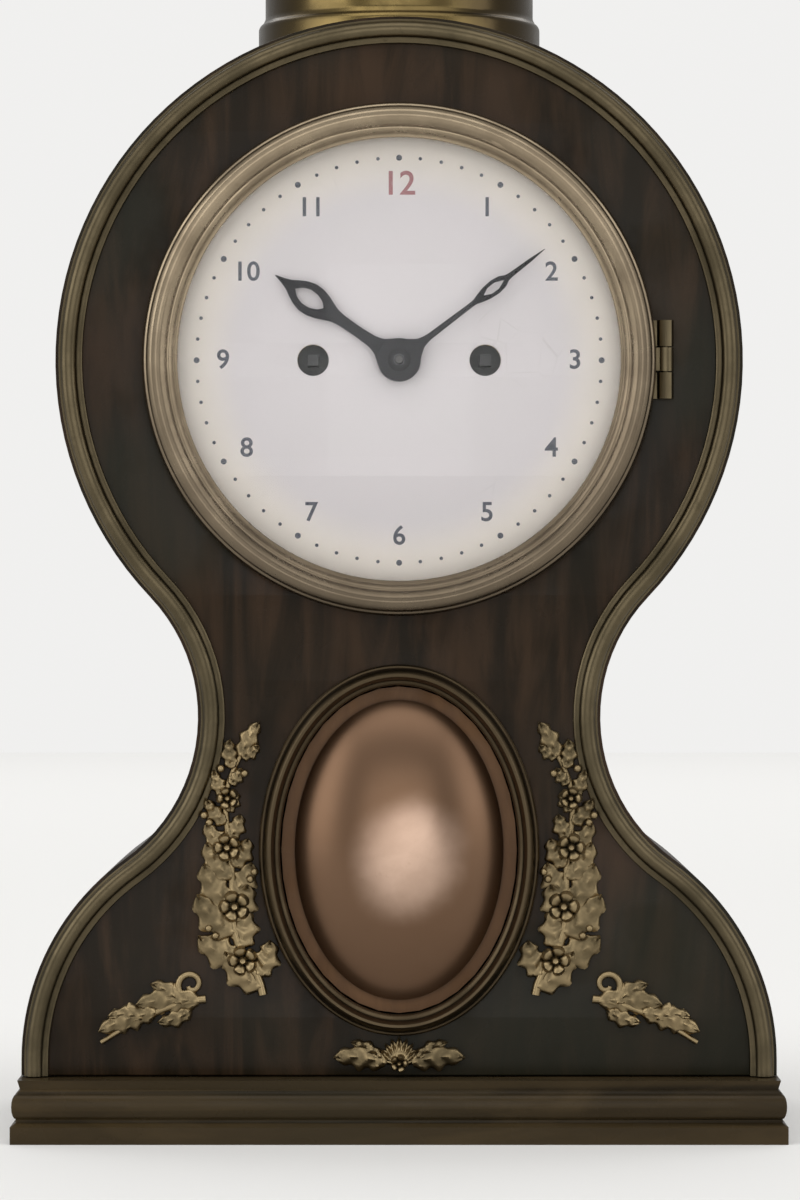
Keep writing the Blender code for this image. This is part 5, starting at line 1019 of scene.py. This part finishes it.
def stemAlong(target, points, thick, thin):
    # a tapering round stem, extruded from one ring to the next and sunk a little into the ground
    shape = bmesh.new()
    ring = bmesh.ops.create_circle(shape, cap_ends=True, radius=1.0, segments=stalk["sides"])["verts"]
    last = len(points) - 1
    frames = []
    for i, (x, y) in enumerate(points):
        a = points[max(0, i - 1)]
        b = points[min(last, i + 1)]
        turn = math.atan2(b[1] - a[1], b[0] - a[0])
        size = thick + (thin - thick) * i / last
        frames.append(Matrix.Translation((x, y, size * stalk["lift"])) @ Matrix.Rotation(turn, 4, "Z")
                      @ Matrix.Rotation(math.pi / 2, 4, "Y") @ Matrix.Diagonal((size, size, 1, 1)))
    bmesh.ops.transform(shape, matrix=frames[0], verts=ring)
    face = shape.faces[:][0]
    for before, after in zip(frames, frames[1:]):
        made = bmesh.ops.extrude_discrete_faces(shape, faces=[face])
        face = made["faces"][0]
        bmesh.ops.transform(shape, matrix=after @ before.inverted(), verts=face.verts)
    joinShapes(target, shape)


def spiral(centre, start, end, fromRadius, toRadius, steps):
    points = []
    for i in range(steps + 1):
        t = i / steps
        r = fromRadius + (toRadius - fromRadius) * t
        a = math.radians(start + (end - start) * t)
        points.append((centre[0] + r * math.cos(a), centre[1] + r * math.sin(a)))
    return points


# the garland beside the boss: leaves in pairs up a bent stem, with flowers and berries between
spray = {"foot": 0.0335, "tip": 0.0900, "clear": 0.0078, "nearest": 0.0235, "swell": 0.0014, "pairs": 9,
         "thick": 0.0011, "thin": 0.0006, "length": 0.0116, "width": 0.0080, "lobes": 3,
         "share": 1.02, "taper": 0.40, "vary": 0.14, "innerLength": 0.72, "innerWidth": 0.9,
         "outerLean": 58, "outerBend": -48, "innerLean": -56, "innerBend": 46,
         "flowerFoot": 0.0012, "berry": 0.0009, "berryFoot": 0.0008, "wave": 9, "steps": 24,
         "pairFoot": 0.3, "ahead": 0.02, "innerAhead": 0.05, "varyTurn": 7, "lastLeaf": 0.97}
sprayTip = (-22, 0.0090, 0.0052, -14, 3)  # angle, length, width, bend and lobes of the last leaf
sprayFlowers = [(0.14, 0.0008, 0.0036), (0.36, -0.0006, 0.0038), (0.60, 0.0006, 0.0034),
                (0.80, -0.0004, 0.0027)]
sprayBerries = [(0.24, 0.0046), (0.27, 0.0058), (0.47, -0.0042), (0.50, -0.0052), (0.70, 0.0040),
                (0.73, 0.0050), (0.90, -0.0030), (0.92, 0.0030)]


def spineAt(t):
    # the stem keeps clear of the boss frame, and runs straight down below it
    z = spray["foot"] + (spray["tip"] - spray["foot"]) * t
    tall = front["wellHalfHeight"] + boss["frame"]
    wide = front["wellHalfWidth"] + boss["frame"]
    frameEdge = wide * math.sqrt(max(0.0, 1 - ((z - clock["bossHeight"]) / tall) ** 2))
    sway = spray["swell"] * math.sin(spray["wave"] * t)
    return max(frameEdge, spray["nearest"]) + spray["clear"] + sway, z


def makeGarland():
    garland = bmesh.new()
    spine = [spineAt(i / spray["steps"]) for i in range(spray["steps"] + 1)]
    stemAlong(garland, spine, spray["thick"], spray["thin"])
    for i in range(spray["pairs"]):
        t = (i + spray["pairFoot"]) / spray["pairs"]
        (x, z), (nextX, nextZ) = spineAt(t), spineAt(t + spray["ahead"])
        lean = math.degrees(math.atan2(nextX - x, nextZ - z))
        size = spray["share"] - spray["taper"] * t + spray["vary"] * math.sin(spray["varyTurn"] * i)
        length, width = spray["length"] * size, spray["width"] * size
        leafRelief(garland, (x, z), lean + spray["outerLean"], length, width, spray["outerBend"],
                   spray["lobes"])
        leafRelief(garland, spineAt(t + spray["innerAhead"]), lean + spray["innerLean"],
                   length * spray["innerLength"], width * spray["innerWidth"], spray["innerBend"],
                   spray["lobes"])
    leafRelief(garland, spineAt(spray["lastLeaf"]), *sprayTip)
    for t, out, radius in sprayFlowers:
        x, z = spineAt(t)
        rosette(garland, (x + out, z), radius, spray["flowerFoot"])
    for t, out in sprayBerries:
        x, z = spineAt(t)
        berry(garland, (x + out, z), spray["berry"], spray["berryFoot"])
    return garland


# the scroll in the corner, and its leaves: place, angle clockwise from up, length, width, bend, lobes
corner = {"x": 0.0445, "z": 0.0325, "run": 0.0240, "drop": 0.0100, "sag": 1.6, "steps": 10,
          "thick": 0.0010, "curlThick": 0.0009, "thin": 0.0006}
cornerCurl = ((0.0478, 0.0358), -100, 330, 0.0036, 0.0008, 22)
cornerLeaves = [
    ((0.0460, 0.0320), 82, 0.0145, 0.0076, 22, 4),
    ((0.0560, 0.0295), 98, 0.0138, 0.0070, 22, 4),
    ((0.0500, 0.0315), 38, 0.0085, 0.0050, 40, 3),
    ((0.0590, 0.0280), 62, 0.0080, 0.0044, 50, 3),
    ((0.0480, 0.0300), 130, 0.0080, 0.0048, -40, 3),
]


def makeCorner():
    shape = bmesh.new()
    shares = [i / corner["steps"] for i in range(corner["steps"] + 1)]
    stem = [(corner["x"] + corner["run"] * t, corner["z"] - corner["drop"] * t ** corner["sag"])
            for t in shares]
    stemAlong(shape, stem, corner["thick"], corner["thin"])
    stemAlong(shape, spiral(*cornerCurl), corner["curlThick"], corner["thin"])
    for row in cornerLeaves:
        leafRelief(shape, *row)
    return shape


# the shell under the boss: a fluted fan between two pairs of leaves
shell = {"height": 0.0178, "petals": 9, "spread": 18, "petal": 0.0062, "petalWidth": 0.0024,
         "petalRise": 0.0020, "shorten": 0.2, "flower": 0.0022, "flowerFoot": 0.0008}
shellLeaves = [(0.0030, 0.0, 70, 0.0122, 0.0068, 28, 3), (0.0040, 0.0012, 48, 0.0080, 0.0036, 30, 3)]


def makeShell():
    fan = bmesh.new()
    centre = (0.0, shell["height"])
    middle = (shell["petals"] - 1) / 2
    for i in range(shell["petals"]):
        reach = shell["petal"] * (1 - shell["shorten"] * abs(i - middle) / middle)
        leafRelief(fan, centre, shell["spread"] * (i - middle), reach, shell["petalWidth"], 0.0, 1,
                   shell["petalRise"])
    for side in (-1, 1):
        for x, up, angle, length, width, bend, lobes in shellLeaves:
            foot = (x * side, shell["height"] + up)
            leafRelief(fan, foot, angle * side, length, width, bend * side, lobes)
    rosette(fan, centre, shell["flower"], shell["flowerFoot"])
    return fan


def addMount(name, shape, node):
    placed(shape, 0.0, onFront, 0.0)
    addPiece(name, shape, "gilt", "case", [node], sharp=45)


def makeMounts():
    for side in ("right", "left"):
        made = (("flowerSpray", makeGarland(), "spray_"), ("cornerScroll", makeCorner(), "corner_leaf_"))
        for name, shape, node in made:
            if side == "left":
                bmesh.ops.scale(shape, vec=(-1, 1, 1), verts=shape.verts)
            addMount(name + side.capitalize(), shape, node + side)
    addMount("shellFan", makeShell(), "shell_mount")


# the four turned pillars between the plates, as shares of their radius and length
pillarShares = [(0.0, 0.0), (1.0, 0.0), (1.0, 0.07), (0.72, 0.10), (0.60, 0.16), (0.66, 0.30),
                (0.74, 0.44), (0.86, 0.47), (0.86, 0.53), (0.74, 0.56), (0.66, 0.70), (0.60, 0.84),
                (0.72, 0.90), (1.0, 0.93), (1.0, 1.0), (0.0, 1.0)]


def pieceName(node):
    first, *rest = node.split("_")
    return first + "".join(word.capitalize() for word in rest)


def makePillars():
    for number in range(1, 5):
        node = "pillar_%d" % number
        low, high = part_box(node)
        shape = spun(scaled(pillarShares, (high.x - low.x) / 2, high.y - low.y), around["pillar"])
        placed(shape, (low.x + high.x) / 2, high.y, (low.z + high.z) / 2)
        addPiece(pieceName(node), shape, "movementBrass", "case", [node], sharp=35)


# everything that keeps the solid's own shape: a softened, merged copy with its finish, slot and edge width
brass = ("movementBrass", "clean_brass")
doorBrass = ("doorBrass", "clean_brass")
steel = ("steel", "steel")
windingSteel = ("windingSteel", "steel")
movement = [
    ("dial_ring", "case", ("edgeBrass", "clean_brass"), 0.0002),
    ("rear_ring", "case", doorBrass, 0.0002),
    ("rear_door", "rear_door", doorBrass, 0.0002),
    ("dial_plate", "case", brass, 0.0001),
    ("front_plate", "case", brass, 0.0002),
    ("back_plate", "case", brass, 0.0002),
    ("suspension_cock", "case", brass, 0.0003),
    ("bell", "case", ("bellMetal", "bell_metal"), 0.0001),
    ("bell_standard", "case", steel, 0.0001),
    ("strap_right", "case", steel, 0.0002),
    ("strap_left", "case", steel, 0.0002),
    ("cannon_pinion", "minute_work", steel, 0.00005),
    ("hour_wheel", "hour_work", brass, 0.00008),
    ("minute_wheel", "minute_wheel", brass, 0.00008),
    ("going_barrel", "going_barrel", brass, 0.0001),
    ("strike_barrel", "strike_barrel", brass, 0.0001),
    ("going_second_wheel", "going_second_wheel", brass, 0.00006),
    ("strike_second_wheel", "strike_second_wheel", brass, 0.00006),
    ("centre_wheel", "centre_wheel", ("centreBrass", "clean_brass"), 0.00006),
    ("third_wheel", "third_wheel", brass, 0.00006),
    ("escape_wheel", "escape_wheel", brass, 0.00006),
    ("pin_wheel", "pin_wheel", brass, 0.00006),
    ("fly", "fly", steel, 0.00006),
    ("going_arbor", "going_arbor", windingSteel, 0.0001),
    ("strike_arbor", "strike_arbor", windingSteel, 0.0001),
    ("going_click", "going_click", steel, 0.0001),
    ("strike_click", "strike_click", steel, 0.0001),
    ("anchor", "anchor", steel, 0.0001),
    ("pendulum_rod", "pendulum", steel, 0.0001),
    ("pendulum_bob", "pendulum", brass, 0.0001),
    ("rating_nut", "pendulum", brass, 0.0002),
    ("hammer", "hammer", steel, 0.0001),
]


def makeMovement():
    for node, body, (look, slot), edge in movement:
        addPiece(pieceName(node), copyOf(node, edge), look, body, [node], sharp=20, keepNormals=True)


makePlinth()
makeCase()
makeBead()
makeBoss()
makeMounts()
print("case ready")
makeBezel()
makeDial()
makeHands()
makePedestal()
makePillars()
makeMovement()
print("clock ready")


# floor, light and camera

studio = {"distance": 1.20, "photoHeight": 0.276, "aim": 0.1242, "aside": 0.0002, "sensor": 36.0,
          "near": 0.05, "floorSize": 3.0, "floor": (0.83, 0.825, 0.81), "wall": (0.875, 0.87, 0.86),
          "fill": 0.5, "floorRough": 0.9, "floorShine": 0.1}

# each light: place, what it looks at, width and height, power
lights = {
    "window": ((0.0, -2.15, 0.55), (0.0, 0.0, 0.55), (1.9, 1.1), 9.2),
    "windowPane": ((0.0, -2.13, 0.25), (0.0, 0.0, 0.25), (0.34, 0.5), 0.4),
    "keyPanel": ((-1.9, -0.9, 0.9), (0.0, 0.0, 0.12), (1.5, 1.8), 18.0),
    "fillPanel": ((1.9, -0.9, 0.9), (0.0, 0.0, 0.12), (1.5, 1.8), 13.0),
    "frontPanel": ((0.0, -1.2, 2.2), (0.0, -0.4, 0.0), (3.0, 1.6), 24.0),
    "topPanel": ((0.0, 2.5, 2.2), (0.0, 2.3, 0.0), (4.6, 2.8), 52.0),
}


def makeFloor():
    shape = bmesh.new()
    bmesh.ops.create_grid(shape, x_segments=1, y_segments=1, size=studio["floorSize"])
    mesh = bpy.data.meshes.new("floor")
    shape.to_mesh(mesh)
    shape.free()
    made, _, shader, _ = newMaterial("floorPaint")
    setValues(shader, {"Base Color": (*studio["floor"], 1.0), "Roughness": studio["floorRough"],
                       "Specular IOR Level": studio["floorShine"]})
    mesh.materials.append(made)
    addToScene("floor", mesh)


def makeWall():
    # the wall shows at full strength but lights the clock with less
    world = bpy.data.worlds.new("studio")
    bpy.context.scene.world = world
    world.use_nodes = True
    tree = world.node_tree
    background = tree.nodes["Background"].inputs
    background["Color"].default_value = (*studio["wall"], 1.0)
    seen = tree.nodes.new("ShaderNodeLightPath").outputs["Is Camera Ray"]
    strength = plus(tree, studio["fill"], times(tree, seen, 1.0 - studio["fill"]))
    tree.links.new(strength, background["Strength"])


def makeLights():
    for name, (at, aim, size, power) in lights.items():
        lamp = bpy.data.lights.new(name, "AREA")
        lamp.shape = "RECTANGLE"
        lamp.size, lamp.size_y = size
        lamp.energy = power
        holder = addToScene(name, lamp)
        holder.location = at
        holder.rotation_euler = (Vector(aim) - Vector(at)).to_track_quat("-Z", "Y").to_euler()
        holder.visible_camera = False


def makeCamera():
    camera = bpy.data.cameras.new("camera")
    camera.sensor_width = studio["sensor"]
    camera.lens = studio["sensor"] / 2 / (studio["photoHeight"] / 2 / studio["distance"])
    camera.clip_start = studio["near"]
    holder = addToScene("camera", camera)
    holder.location = (studio["aside"], clock["front"] - studio["distance"], studio["aim"])
    holder.rotation_euler = (math.pi / 2, 0.0, 0.0)
    bpy.context.scene.camera = holder


makeFloor()
makeWall()
makeLights()
makeCamera()
bpy.context.scene.view_settings.view_transform = "Standard"
print("studio ready")
